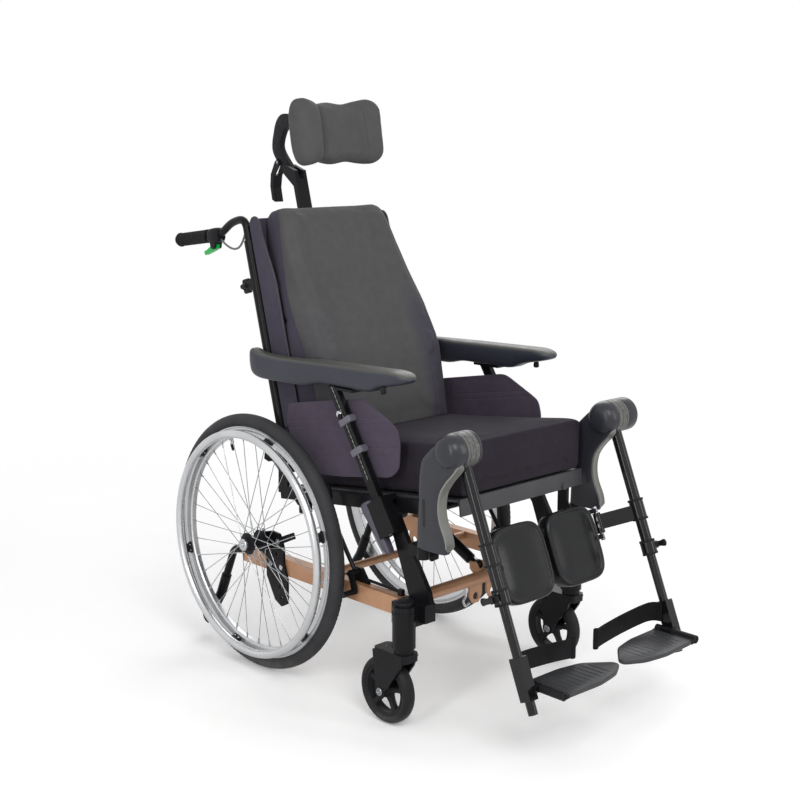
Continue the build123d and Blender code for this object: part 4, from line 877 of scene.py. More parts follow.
def handrim_tabs():
    """Six moulded feet from rim to handrim: squircle sections along x, waisted in the middle, with the
    heads of two screws."""
    shells = []
    rows = np.array([285.6, 287.5, 291.0, 296.0, 300.5, 304.0, 307.5])
    wide = np.array([14.5, 14.5, 11.5, 10.5, 11.5, 13.0, 12.0])
    thick = np.array([5.2, 5.2, 4.2, 4.0, 4.8, 6.5, 6.0])
    for number in range(6):
        angle = radians(60 * number + 15)

        def place(u, v, w, c=cos(angle), s=sin(angle)):
            return at(w, u * c - (HANDRIM_R + v) * s, AXLE_Z + u * s + (HANDRIM_R + v) * c)
        middle = np.stack([0 * rows, 0 * rows, rows], -1)
        shells.append(lofted(middle, wide, thick, 4.0, place, 28))
        for offset in (-6.5, 6.5):
            y, z = offset * cos(angle), offset * sin(angle)
            out = (0, -sin(angle), cos(angle))
            spot = (290.0, y - (HANDRIM_R - 4) * sin(angle), AXLE_Z + z + (HANDRIM_R - 4) * cos(angle))
            shells.append(turned([(-1.6, 2.4), (0.6, 2.4), (1.0, 0.4)], spot, np.negative(out), 14))
    return shells


def build_rear_wheels():
    """Tyres, rims, hubs, spokes and handrims."""
    _, sizes = settings()
    tread = sizes.tread_depth * 1000
    gauge = sizes.spoke_gauge * 1000
    tyre_shell, rim_shell = [tyre(tread)], [rim()]
    wheel_parts = [hub(), hub_cap()], spokes(gauge), valve(), [handrim_ring()], handrim_tabs()
    for side, word in SIDES:
        body = "wheel_" + word
        piece("rear_tyre_tread_" + word, mirrored(tyre_shell, side), "Tyre rubber", body,
              ["rear_tyre_" + word], angle=40)
        piece("rear_rim_alloy_" + word, mirrored(rim_shell, side), "Turned alloy", body,
              ["rear_rim_" + word])
        hubs, wires, valves, ring, tabs = (mirrored(shells, side) for shells in wheel_parts)
        piece("hub_" + word, hubs, ["Black moulding", "Polished metal"], body, ["spoked_hub_" + word],
              [0, 1])
        piece("spokes_" + word, wires, "Spoke steel", body)
        piece("valve_" + word, valves, ["Polished metal", "Black moulding"], body,
              indices=[0, 1])
        piece("handrim_ring_" + word, ring, "Turned alloy", body, ["handrim_" + word])
        piece("handrim_tabs_" + word, tabs, ["Black moulding", "Polished metal"], body,
              indices=[0, 1, 1] * 6)


# ------------------------------------------------------------------ castors
CASTOR_X, CASTOR_Y, CASTOR_R = 277.0, -453.0, 75.0


def castor_tyre():
    """Solid tyre: a rounded closed profile turned about the castor's axle."""
    shape = [(-13, -18), (-15, -14), (-15, -7), (-10, -1.4), (-4, 0), (4, 0), (10, -1.4), (15, -7),
             (15, -14), (13, -18)]
    outline = [(x, CASTOR_R + r) for x, r in shape]
    return turned(rounded(outline, 3, 4), (CASTOR_X, CASTOR_Y, CASTOR_R), around=96, ring=True)


def castor_core():
    """Rim ring, five spokes and hub of the castor wheel."""
    origin = (CASTOR_X, CASTOR_Y, CASTOR_R)
    ring = [(-13, 57.5), (-13.5, 52), (-10, 49.5), (-3, 51), (3, 51), (10, 49.5), (13.5, 52), (13, 57.5)]
    hub_shape = [(-17.5, 5.3), (-17.5, 12), (-12, 15), (-9, 16.5), (9, 16.5), (12, 15), (17.5, 12),
                 (17.5, 5.3)]
    shells = [turned(rounded(ring, 1.5, 3), origin, around=96, ring=True),
              turned(rounded(hub_shape, 1.5, 3), origin, around=48, ring=True)]
    rows = np.array([13.0, 18.0, 28.0, 40.0, 48.0, 52.5])
    wide = np.array([9.0, 7.0, 6.0, 6.2, 8.0, 12.0])
    deep = np.array([10.0, 9.0, 7.5, 7.5, 9.0, 11.0])
    for number in range(5):
        angle = radians(72 * number + 20)

        def place(u, v, w, c=cos(angle), s=sin(angle)):
            return at(CASTOR_X + v, CASTOR_Y + w * c - u * s, CASTOR_R + w * s + u * c)
        middle = np.stack([0.12 * (rows - 13), 0 * rows, rows], -1)
        shells.append(lofted(middle, wide, deep, 3.2, place, 28))
    return shells


def castor_bolts():
    """Round bolt heads on both fork legs, with a socket."""
    shape = [(0, 9), (2.2, 9), (3.6, 7.5), (3.8, 3.8), (1.8, 3.2), (1.8, 0.4)]
    return [turned(rounded(shape, 0.5, 3, closed=False), (CASTOR_X + way * 24.0, CASTOR_Y, CASTOR_R),
                   (way, 0, 0), 32) for way in (-1, 1)]


def build_castors():
    """Castor tyres, wheels and bolts."""
    tyre_shell, core, bolts = [castor_tyre()], castor_core(), castor_bolts()
    for side, word in SIDES:
        piece("castor_tyre_" + word, mirrored(tyre_shell, side), "Castor rubber", "castor_" + word,
              ["castor_wheel_" + word])
        piece("castor_core_" + word, mirrored(core, side), "Black moulding", "castor_" + word)
        piece("castor_bolts_" + word, mirrored(bolts, side), "Drawn steel", "castor_swivel_" + word)
        dress("Black coat", "castor_fork_" + word)


# ------------------------------------------------------------------ seat and back cushions
def seat_base(height, y):
    """The seat's slope at y, from its height at the front."""
    return height - 0.1208 * (y + 586)


def seat_cushion_form():
    """Sections across the chair along y: a squircle between the bottom, which follows the seat's slope,
    and a top that falls to the rear, steps down in front of the back cushion and falls faster under it;
    the front edge is drawn in as a quarter circle."""
    y = -350 + 237 * end_rows(96, 0.7)
    bottom = seat_base(508, y)
    top = 624 - 0.119 * (y + 590) - 8 * ease(y, -200, -190) - 0.17 * np.maximum(y + 190, 0)
    front = np.clip((y + 588) / 7, 0, 1)
    drawn = 1 - np.sqrt(1 - (1 - front)**2)
    top = top - 5 * drawn
    bottom = bottom + 3 * drawn
    half = 196 - 4 * drawn
    middle = np.stack([0 * y, (top + bottom) / 2, y], -1)
    return lofted(middle, half, (top - bottom) / 2, 16.0, from_front(at), 170)


def hold_seat(points):
    """Seat cushion points kept above the seat plate, between the side panels and under the back."""
    y = points[:, 1] * 1000 - AXLE_Y
    lowest = seat_base(507.3, y) / 1000
    highest = np.where(y > -192, 570 - 0.26 * (y + 186), 632) / 1000
    points[:, 0] = np.clip(points[:, 0], -0.1985, 0.1985)
    points[:, 2] = np.clip(points[:, 2], lowest, highest)
    points[:, 1] = np.maximum(points[:, 1], (AXLE_Y - 592.0) / 1000)
    return points


def build_seat_cushion():
    """Seat cushion in stretch cloth, with a sewn line along its lower edge at both sides and across its
    front.
    """
    _, sizes = settings()
    mesh = filled("seat_cushion_pad", [seat_cushion_form()], sizes.voxel, sizes.pressure, 0.003, hold_seat)
    rows = np.linspace(-588, -120, 240)
    height = seat_base(512, rows)
    across = np.linspace(-196, 196, 200)
    lines = [at(side * 199.0, rows, height + 6) for side in (-1, 1)]
    lines.append(at(across, -591.0, 518.0))
    sewn(mesh, lines, sizes.seam_depth * 0.7, sizes.seam_width)
    soft_piece("seat_cushion_pad", mesh, ["Seat cloth"], "seat", ["seat_cushion"])


BACK_H = np.array([50, 150, 237, 344, 420, 512, 572, 600.0])      # up the back, mm
BACK_HALF = np.array([197, 197, 197, 195, 191, 183, 173, 164.0])
BACK_CREST = np.array([182, 192, 197, 168, 139, 114, 104, 93.0])  # forward of the back's axis
BACK_VALLEY = np.array([178, 174, 167, 137, 111, 97, 96, 88.0])
BACK_WALL = np.array([128, 138, 132, 102, 88, 80, 76, 70.0])      # where the side wall's cloth starts


def back_at(h):
    """Half width, crest, valley and wall of the back cushion at a height, smoothed between stations."""
    fine = np.linspace(BACK_H[0], BACK_H[-1], 111)
    kernel = np.hanning(23) / np.hanning(23).sum()
    found = []
    for values in (BACK_HALF, BACK_CREST, BACK_VALLEY, BACK_WALL):
        line = np.interp(fine, BACK_H, values)
        line = np.convolve(np.pad(line, 11, mode="edge"), kernel, "valid")
        found.append(np.interp(h, fine, line))
    return found


def back_cushion_form():
    """Level sections up the back: a squircle whose front is at the valley's depth in the middle and at
    the crest's near the sides; top and bottom edges are drawn in as quarter circles."""
    h = 326 + 278 * end_rows(84, 0.85)
    half, crest, valley, _ = back_at(h)
    top = 1 - np.sqrt(1 - (1 - np.clip((606 - h) / 28, 0, 1))**2)
    low = 1 - np.sqrt(1 - (1 - np.clip((h - 48) / 8, 0, 1))**2)
    drawn = 24 * top + 3 * low
    form = squircle(176, 10)
    x = (half - 4 - drawn)[:, None] * form[:, 0]
    share = ease(abs(x) / half[:, None], 0.5, 0.9)
    depth = valley[:, None] + (crest - valley)[:, None] * share - 2.5 - (0.9 * drawn)[:, None]
    forward = 0.5 + 0.5 * form[:, 1]
    rear = 22 + (0.3 * drawn)[:, None]
    y = -(rear + (depth - rear) * forward)
    return skin(on_back(x, y, np.broadcast_to(h[:, None], x.shape)))


def back_local(points):
    """Frame metres as millimetres (x, forward, up) of the leaning back."""
    y, z = points[:, 1] * 1000 - AXLE_Y - BACK_Y, points[:, 2] * 1000 - BACK_Z
    c, s = cos(radians(BACK_LEAN)), sin(radians(BACK_LEAN))
    return points[:, 0] * 1000, -(y * c - z * s), y * s + z * c


def hold_back(points):
    """Back cushion points kept in front of its panel, between the arm pads and off the headrest."""
    x, forward, up = back_local(points)
    x = np.clip(x, -197.5, 197.5)
    forward = np.maximum(forward, 19.6)
    up = np.clip(up, 49.0, 611.0)
    return on_back(x, -forward, up)


def build_back_cushion():
    """Back cushion in spacer cloth: grey front, darker gusset cloth on the side walls, painted shade on the
    lower slopes, mostly on the far side, and three sewn lines on each side."""
    _, sizes = settings()
    mesh = filled("back_cushion_pad", [back_cushion_form()], sizes.voxel * 1.12, sizes.pressure, 0.006,
                  hold_back)
    h = np.linspace(62, 590, 260)
    half, crest, _, wall = back_at(h)
    lines = []
    for side in (-1, 1):
        lines.append(on_back(side * (half - 58 + 22 * ease(h, 330, 560)), -(crest + 4), h))
        lines.append(on_back(side * (half + 2), -wall, h))
        lines.append(on_back(side * (half - 22 + 8 * ease(h, 330, 560)), -(crest + 6), h))
    lines = [on_surface(mesh, line) for line in lines]
    sewn(mesh, lines, sizes.seam_depth * 0.7, sizes.seam_width)
    x, forward, up = back_local(places(mesh))
    half, _, _, wall = back_at(np.clip(up, 50, 600))
    side_wall = ease(wall - forward, -2, 2) * (abs(x) > half - 70)
    # Painted shade: the lower slopes take the gusset colour as shade, strongly on the far side (x > 0).
    slope = ease(abs(x), half - 92, half - 50) * (1 - ease(up, 270, 410)) * np.where(x > 0, 0.8, 0.12)
    marked(mesh, "gusset_and_shade", np.maximum(side_wall, slope))
    soft_piece("back_cushion_pad", mesh, ["Back cloth"], "back", ["back_cushion"])
    welt = []
    for line in (lines[1], lines[4]):
        run = on_surface(mesh, line[6:-6:3], 0.0003)
        welt.append(tube(drawing(run), 1.5, 8))
    piece("back_cushion_welt", welt, "Cover cloth", "back")


# ------------------------------------------------------------------ cover of the back
FLAP = [(17, 92), (70, 92), (76, 112), (76, 430), (63, 500), (54, 545), (54, 572), (44, 587), (28, 587),
        (17, 572)]                     # forward of the posts and up the back, with its rounded ear


def build_back_cover():
    """Rear panel, side flaps with a rounded ear, edge bindings, and the straps behind the panel."""
    panel = slab([(-203, 72), (203, 72), (203, 588), (-203, 588)], 13.2, 18.8, 2.2,
                 lambda u, v, w: on_back(u, -np.asarray(w, float), v), corner=26)
    flaps, bindings = [], []
    for side in (LEFT, RIGHT):
        flaps.append(slab(FLAP, 200.2, 205.6, 2.4,
                          lambda u, v, w: on_back(side * np.asarray(w, float), -np.asarray(u, float), v),
                          corner=14, steps=7))
        edge = rounded(FLAP[1:], 16, 6, closed=False)
        line = drawing(on_back(side * 202.9, -edge[:, 0], edge[:, 1]))
        bindings.append(tube(line, 2.9, 10))
    piece("back_cover", [panel] + flaps, "Cover cloth", "back", ["back_upholstery"])
    piece("back_cover_binding", bindings, "Thread", "back")
    straps = [slab([(-186, h), (186, h), (186, h + 38), (-186, h + 38)], 10.6, 13.0, 0.9,
                   lambda u, v, w: on_back(u, -np.asarray(w, float), v), corner=3)
              for h in (90, 168, 246, 324, 402)]
    piece("back_tension_straps", straps, "Webbing", "back")


# ------------------------------------------------------------------ headrest
HEAD_LEAN, HEAD_Y, HEAD_Z = 6.0, -124.0, 763.0      # degrees, and the middle in the back's places


def on_headrest(x, y, z):
    """Places on the back, turned forward by the headrest's lean about its middle."""
    c, s = cos(radians(HEAD_LEAN)), sin(radians(HEAD_LEAN))
    y, z = np.asarray(y, float) - HEAD_Y, np.asarray(z, float) - HEAD_Z
    return on_back(x, y * c - z * s + HEAD_Y, y * s + z * c + HEAD_Z)


def headrest_form():
    """Squircle sections carried along a curve that bends forward towards both wings, as the square of
    the way out; each wing is rolled thicker, and a crease parts it from the middle."""
    u = end_rows(90, 0.75)
    path = np.stack([121 * u - 4, HEAD_Y - (47 + 11 * np.sign(u)) * u**2, 0 * u + HEAD_Z], -1)
    near = ease(-u, 0.42, 0.62)
    roll = 4 * np.exp(-((abs(u) - 0.74) / 0.16)**2) + 7 * near
    crease = 9 * np.exp(-((u + 0.46) / 0.07)**2) + 3 * np.exp(-((u - 0.5) / 0.09)**2)
    rounding = 0.14 + 0.12 * (u > 0)
    closing = np.sqrt(np.clip(1 - np.clip((abs(u) - 1 + rounding) / rounding, 0, 1)**2, 0.02, 1))
    thick = (28 - 6 * ease(abs(u), 0.2, 0.6) + roll - crease) * closing
    tall = (79 - 5 * np.exp(-((abs(u + 0.04) - 0.34) / 0.2)**2)) * (0.55 + 0.45 * closing)
    section = squircle(72, 3.0)[None] * np.stack([thick, tall], -1)[:, None]
    return carried(path, section, (0, 0, 1), on_headrest)


HEAD_ARM = [(29, 712), (40, 701), (56, 704), (92, 764), (92, 790), (62, 842), (34, 856), (-20, 834),
            (-62, 812), (-84, 810), (-86, 790), (-60, 786), (-10, 806), (30, 820), (60, 784), (58, 764)]


def build_headrest():
    """Headrest pad in stretch cloth, its hinge ears, its curved arm, and the finishes of bar and lever."""
    _, sizes = settings()
    mesh = filled("headrest_cushion", [headrest_form()], sizes.voxel * 0.75, sizes.pressure, 0.006,
                  lambda points: points)
    lines = []
    for x, low, high in ((-52, 690, 818), (56, 694, 812)):
        up = np.linspace(low, high, 120)
        lines.append(on_surface(mesh, on_back(x, -186.0, up)))
    sewn(mesh, lines, sizes.seam_depth, sizes.seam_width * 1.6)
    soft_piece("headrest_cushion", mesh, ["Headrest cloth"], "headrest", ["headrest_pad"])
    ear = [(-100, 787), (-100, 813), (-66, 810), (-62, 800), (-66, 790)]
    ears = [slab(ear, low, low + 6, 1.0, from_side(on_back), corner=5)
            for low in (-14.6, 8.6)]
    pin = turned([(-17, 0.5), (-17, 4), (-15.5, 5), (15.5, 5), (17, 4), (17, 0.5)], (0, -74, 800),
                 around=28, place=on_back)
    piece("headrest_hinge", ears + [pin], ["Black coat", "Drawn steel"], "headrest",
          indices=[0, 0, 1])
    dress("Black moulding", "headrest_bar", "headrest_lever")
    hook = slab(HEAD_ARM, -8.0, 8.0, 1.6, from_side(on_back), corner=20, steps=9)
    lever_pin = turned([(-15, 0.4), (-15, 4), (15, 4), (15, 0.4)], (0, 74, 742), around=24, place=on_back)
    piece("headrest_arm_hook", [hook, lever_pin], ["Black moulding", "Drawn steel"], "headrest_arm",
          ["headrest_arm"], indices=[0, 1])
    # Dark discs on both faces of the arm: painted shade in its holes.
    hole_shades = [turned([(-0.4, 0.4), (-0.4, 3.2), (0.5, 3.2), (0.5, 0.4)], (side * 8.2, y, z), (side, 0, 0), 14,
                    place=on_back)
             for side in (-1, 1) for y, z in ((84, 772), (82, 792), (72, 812), (58, 828), (40, 838),
                                              (18, 834), (-4, 824), (-26, 815))]
    piece("headrest_arm_holes", hole_shades, "Dark inset", "headrest_arm")
    shape = [(0, 0.4), (0, 12), (4, 13), (12, 13), (15, 11), (16, 0.4)]
    knob = turned(rounded(shape, 1.5, 4, closed=False), (0, 51, 500), (0, 1, 0), 40, place=on_back)
    piece("headrest_bar_knob", [knob], "Black moulding", "back")


# ------------------------------------------------------------------ arms
PAD_PROFILE = [(764, 52), (706, 52), (692, 20), (694, -150), (707, -196), (707, -362), (722, -390),
               (735, -454), (742, -474), (751, -475.5), (762, -448), (756, -220), (749, -60), (751, 15)]
PAD_PLAN = [(212, -475.5), (244, -475.5), (255.4, -456), (255.4, 36), (246, 52), (226, 52), (216, 40),
            (216, -112), (199.2, -196), (199.2, -456)]


def armpad_form():
    """Sections along y whose height comes from the side profile and whose width from the plan; the
    section is a squircle with its lower half drawn in, as a moulded pad leaves its tool."""
    profile, plan = rounded(PAD_PROFILE, 26, 6), rounded(PAD_PLAN, 22, 6)
    front = max(profile[:, 1].min(), plan[:, 1].min()) + 0.02
    rear = min(profile[:, 1].max(), plan[:, 1].max()) - 0.02
    y = (front + rear) / 2 + (rear - front) / 2 * end_rows(110, 0.6)
    low, high = slices(profile, y)
    inner, outer = slices(plan, y)
    form = squircle(64, 4.6)
    lower = ease(-form[:, 1], -0.2, 1.0)
    half = (outer - inner)[:, None] / 2
    x = (outer + inner)[:, None] / 2 + half * form[:, 0] * (1 - 0.16 * lower)
    crown = 1.6 * np.clip(form[:, 1], 0, 1) * (1 - form[:, 0]**2)
    z = (high + low)[:, None] / 2 + (high - low)[:, None] / 2 * form[:, 1] + crown - 1.2
    return skin(at(x, np.broadcast_to(y[:, None], x.shape), z))


panel_low, panel_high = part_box("side_panel_left")
PANEL_X = 500.0 * (panel_low.x + panel_high.x)


def side_panel_form():
    """Level rows of a flat squircle between the front and rear edges, with the rows parallel to the
    seat; exp(-(d / 1.5)^2) channels are sewn at four levels."""
    slope = 0.172
    outline = [(-72, 642), (-319, 686), (-337, 682), (-416, 645), (-432, 635), (-441, 604),
               (-438, 549), (-413, 527), (-251, 500), (-150, 490), (-96, 520), (-62, 600)]
    line = rounded([(y, z + slope * y) for y, z in outline], 12, 5)
    level = (line[:, 1].min() + line[:, 1].max()) / 2 + 0.4998 * np.ptp(line[:, 1]) * end_rows(150, 0.3)
    rear, front = slices(line, level)
    sewn_in = sum(np.exp(-((level - seam) / 1.5)**2) for seam in (506, 521, 574, 588))
    way_out = abs(level - level.mean()) / (np.ptp(level) / 2)
    thick = 2.0 - 0.8 * sewn_in - 0.7 * ease(way_out, 0.95, 1.0)
    middle = np.stack([(rear + front) / 2, 0 * level + PANEL_X, level], -1)
    return lofted(middle, (front - rear) / 2, thick, 12.0, lambda u, v, w: at(v, u, w - slope * u), 96)


def arm_details():
    """Rule strip with marks and grooves in painted shade, two clips and a push button on the post's outer
    face.
    """
    strip = slab([(-1.1, 46), (1.1, 46), (1.1, 268), (-1.1, 268)], 249.8, 250.7, 0.3,
                 from_side(on_arm), corner=0.8)
    marks = [turned([(-0.2, 0.3), (-0.2, 1.5), (0.5, 1.5), (0.6, 0.3)], (250.6, 0, s), (1, 0, 0), 10,
                    place=on_arm) for s in range(58, 262, 12)]
    groove = [slab([(t - 1.0, 40), (t + 1.0, 40), (t + 1.0, 270), (t - 1.0, 270)], 249.7, 250.3, 0.2,
                   from_side(on_arm), corner=0.6) for t in (-7.5, 7.5)]
    clips = [slab([(-19, s - 1), (19, s - 1), (19, s + 15), (-19, s + 15)], 230.4, 252.6, 2.2,
                  from_side(on_arm), corner=4) for s in (106, 178)]
    button = turned(rounded([(0, 0.4), (0, 8), (2.2, 8), (3.2, 6.6), (3.2, 4.6), (2.4, 4.2), (2.6, 0.4)],
                            0.5, 3, closed=False), (250.0, 9.0, 205), (1, 0, 0), 32, place=on_arm)
    return [strip] + marks + groove, clips, [button]


def shroud():
    """Tapered fairing behind the arm's socket: squircle sections down the arm's lean."""
    s = np.array([-118, -116, -108, -84, -50, -20, -6, 2, 5.0])
    rear = np.array([22, 26, 30, 34, 40, 45, 46.5, 45, 41.0])
    front = np.array([14, 13, 13, 13, 13, 13, 13, 14, 17.0])
    half_x = np.array([7, 9.5, 11, 12, 13, 13.6, 13.6, 12.5, 10.0])
    middle = np.stack([0 * s + 249.0, (rear + front) / 2, s], -1)
    return lofted(middle, half_x, (rear - front) / 2, 3.6, on_arm, 40)


def build_arms():
    """Arm pads, side panels, posts with their fittings, and the fairings at their sockets."""
    pad, panel, fairing = [armpad_form()], [side_panel_form()], [shroud()]
    strip, clips, button = arm_details()
    knob = [turned(rounded([(-8, 0.4), (-8, 5), (0, 6.5), (6, 6.5), (8, 4), (8, 0.4)], 1, 3, closed=False),
                   (246, -408, 718), (0, 0, -1), 28)]
    for side, word in SIDES:
        made = piece("armpad_foam_" + word, mirrored(pad, side), "Arm foam", "armpad_" + word,
                     ["armpad_" + word], angle=50)
        piece("armpad_knob_" + word, mirrored(knob, side), "Black moulding", "armpad_" + word)
        made = piece("side_panel_cloth_" + word, mirrored(panel, side), "Panel cloth", "armrest_" + word,
                     ["side_panel_" + word], angle=50)
        piece("arm_post_rule_" + word, mirrored(strip, side), ["Pale trim", "Dark inset"],
              "armrest_" + word, indices=[0] + [1] * (len(strip) - 1))
        piece("arm_post_clips_" + word, mirrored(clips, side), "Clip plastic", "armrest_" + word)
        piece("arm_post_button_" + word, mirrored(button, side), "Polished metal", "armrest_" + word)
        piece("arm_socket_fairing_" + word, mirrored(fairing, side), "Fairing plastic", "seat")
        dress("Black coat", "arm_post_" + word)


# ------------------------------------------------------------------ leg hangers
HANGER_REAR = [(414, -546), (430, -547), (470, -549), (510, -552), (545, -552), (575, -554), (600, -560),
               (622, -580), (640, -600), (650, -612)]
HANGER_FRONT = [(414, -628), (430, -634), (450, -630), (480, -616), (510, -611), (540, -616),
                (565, -632), (590, -655), (612, -667), (635, -667), (650, -654)]


def hanger_arm(low, high):
    """Level sections between the curved rear and front edges, wider in the middle of their height."""
    z = np.linspace(414, 650, 90)
    rear = np.interp(z, *zip(*curve(HANGER_REAR, 120).tolist()))
    front = np.interp(z, *zip(*curve(HANGER_FRONT, 120).tolist()))
    half_x = (high - low) / 2 * (1 - 0.12 * ease(abs(z - 532), 80, 118))
    middle = np.stack([0 * z + (low + high) / 2, (rear + front) / 2, z], -1)
    return lofted(middle, half_x, (rear - front) / 2, 4.2, at, 56)


def front_lip(low, high):
    """Pale concave strip down the hanger's front edge: a hollow section carried along the edge."""
    z = np.linspace(420, 606, 60)
    front = np.interp(z, *zip(*curve(HANGER_FRONT, 120).tolist()))
    path = np.stack([0 * z + (low + high) / 2, front + 0.4, z], -1)
    w = (high - low) / 2 - 1.4
    hollow = np.linspace(-1, 1, 9)
    outer = np.stack([-2.6 + 1.5 * (1 - hollow**2), hollow * w], -1)
    section = np.vstack([outer, [(1.6, w), (1.6, -w)]])
    ends = np.minimum(1, 0.3 + np.minimum(np.arange(60), np.arange(60)[::-1]) / 4)
    return carried(path, section[None] * np.stack([ends, ends], -1)[:, None], (1, 0, 0))


def dome(face, tip):
    """Knee dome: full round at its face, rounded over to the tip; the edge has a thin bead."""
    way, deep = np.sign(tip - face), abs(tip - face)
    a = np.linspace(0, pi / 2, 12)
    profile = [(0, 0.4), (0, 37.4), (1.5, 38), (3, 38), (3.8, 37.2), (4.6, 37.8)]
    profile += [(4.6 + (deep - 4.6) * sin(v), 1.0 + 36.4 * cos(v)**0.62) for v in a[1:-1]]
    profile += [(deep, 0.5)]
    return turned(profile, (face, *KNEE), (way, 0, 0), 72)


def cap(face, tip):
    """End cap with a raised rim round a shallow dish."""
    way, deep = np.sign(tip - face), abs(tip - face)
    profile = [(0, 0.4), (0, 37.6), (deep - 3, 37.6), (deep - 0.6, 35.6), (deep, 32.5), (deep - 1.4, 30.5),
               (deep - 2.0, 27), (deep - 1.2, 8), (deep - 1.0, 0.5)]
    return turned(rounded(profile, 1.2, 3, closed=False), (face, *KNEE), (way, 0, 0), 72)


def knee_ring():
    """Outer sleeve of the leg's knee ring, with two thin grooves."""
    profile = [(-17.2, 34), (-17.2, 36.6), (-16.4, 37.7), (-6, 37.7), (-5.4, 36.8), (-4.6, 36.8),
               (-4, 37.7), (9, 37.7), (9.6, 36.8), (10.4, 36.8), (11, 37.7), (16.4, 37.7), (17.2, 36.6),
               (17.2, 34)]
    return turned(profile, (244, *KNEE), around=80, ring=True)


def slot_shade(face, way):
    """Painted shade of the slot low on the arm's face, with a thin lip round it."""
    outline = [(-577, 463), (-569, 463), (-567, 522), (-575, 522)]
    low, high = sorted((face - way * 0.8, face + way * 0.35))
    return slab(outline, low, high, 0.2, from_side(at), corner=4)


def pivot_foot(x):
    """Foot of the hanger over its upright pin: a collar and the pin."""
    shape = [(0, 0.4), (0, 6), (-18, 6), (-19, 5), (-19, 0.4)]
    return turned(shape, (x, -558, 416), (0, 0, 1), 28)


def build_hangers():
    """Swing-away leg hangers with knee domes, caps, pale front lips and painted shade in their slots."""
    sides = (("left", (207, 226), (226, 192), (262, 294), 217, (207, -1)),
             ("right", (-288, -262), (-262, -300), (-226, -218), -275, (-288, -1)))
    for word, arm, dome_x, cap_x, pivot_x, (face, way) in sides:
        body = "hanger_" + word
        low, high = arm
        pin = turned([(min(dome_x + cap_x) + 5, 0.4), (min(dome_x + cap_x) + 5, 8),
                      (max(dome_x + cap_x) - 5, 8), (max(dome_x + cap_x) - 5, 0.4)], (0, *KNEE), around=24)
        piece("hanger_arm_" + word, [hanger_arm(low, high), dome(*dome_x), cap(*cap_x), pin,
                                     pivot_foot(pivot_x)],
              ["Grey moulding", "Drawn steel"], body, ["hanger_" + word],
              indices=[0, 0, 0, 1, 1], angle=40)
        piece("hanger_lip_" + word, [front_lip(low, high)], "Pale trim", body,
              angle=50)
        other = high if face == low else low
        piece("hanger_slot_" + word, [slot_shade(face, way), slot_shade(other, -way)], "Dark inset", body)
        sleeve = mirrored([knee_ring()], LEFT if word == "left" else RIGHT)
        piece("knee_sleeve_" + word, sleeve, "Mottled grey", "legrest_" + word)


# ------------------------------------------------------------------ legrests
FOOT_Y, FOOT_Z = -815.2, 176.0


def calf_pad_form():
    """Rows from the pad's rear face to its lip and on over the hollow front, each a squircle in the
    leg's plane."""
    back = np.array([103, 103, 101.5, 96, 86, 74, 66, 62.6, 61.8, 63.4, 65.6, 65, 62.6, 60.6, 60, 59.9])
    half_x = np.array([52, 66, 73, 77, 79, 79.8, 79.4, 77, 74.5, 72, 69, 65, 54, 38, 20, 6.0])
    half_s = half_x + 3.2
    middle = np.stack([0 * back + 86, 0 * back - 255, back], -1)
    return lofted(middle, half_x, half_s, 4.2, from_front(on_leg), 96)


def calf_pad_mount():
    """Two lugs and the upright pin that turns in the leg's bracket."""
    lugs = [slab([(150, 63.5), (183, 63.5), (183, 72.5), (150, 72.5)], s, s + 10, 1.2,
                 on_leg, corner=3) for s in (-258, -199)]
    pin = turned([(-262, 0.5), (-262, 4.4), (-261, 5), (-186, 5), (-185, 4.4), (-185, 0.5)],
                 (183, 68, 0), (0, 0, 1), 24, place=on_leg)
    return lugs + [pin]


def footplate_form():
    """Plate with rounded edges, ridges across its top, and the moulded block at its hinge."""
    plan = [(211, -791), (120, -793), (62, -805), (8, -849), (8, -865), (50, -889), (110, -899),
            (211, -895)]
    plate = slab(plan, 168, 177, 3.0, at, corner=12)
    ridges = []
    for number in range(9):
        x = 58 + 16 * number
        line = np.linspace(-808 - max(0, 74 - x) * 0.8, -884 + max(0, 74 - x) * 0.3, 12)
        path = np.stack([0 * line + x, line, 0 * line + 177], -1)
        ends = np.minimum(1, np.minimum(np.arange(12), np.arange(12)[::-1]) / 2 + 0.2)
        section = squircle(12, 2)[None] * np.stack([2.2 * ends, 1.0 * ends], -1)[:, None]
        ridges.append(carried(path, section, (0, 0, 1)))
    blocks = []
    for low, high in ((-804.8, -790.8), (-895.6, -835.6)):
        shape = [(0, 4.6), (0, 8.2), (0.9, 9), (high - low - 0.9, 9), (high - low, 8.2), (high - low, 4.6)]
        blocks.append(turned(shape, (222, low, FOOT_Z), (0, 1, 0), 40, ring=True))
        blocks.append(block((205, low, 168), (223, high, 177.5), 1.6))
    pin = turned([(0, 0.4), (0, 4.5), (77.6, 4.5), (77.6, 0.4)], (222, -867, FOOT_Z), (0, 1, 0), 24)
    return [plate] + ridges, blocks, [pin]


def heel_band():
    """Flat band carried from the foot fitting behind the heels, falling towards the middle, and the
    upright loop that it ends in."""
    corner = [(231, 3), (224, 22), (200, 32), (130, 37.5), (70, 37), (40, 34.5)]
    line = curve(corner, 60)
    fall = np.tan(radians(6.0))
    path = np.stack([line[:, 0], FOOT_Y + 14 + line[:, 1], 211 - (232 - line[:, 0]) * fall], -1)
    band = carried(path, squircle(40, 7) * (1.5, 21.5), (0, 0, 1))
    x, y = path[-1, 0] - 1.5, path[-1, 1] + 1.0
    t = np.linspace(0, 2 * pi, 36, endpoint=False)
    ring = np.stack([x + 6.0 * np.cos(t), y + 4.0 * np.sin(t), 0 * t + path[-1, 2]], -1)
    loop = carried(ring, squircle(28, 5) * (1.3, 22.5), (0, 0, 1), ring=True)
    return [band, loop]


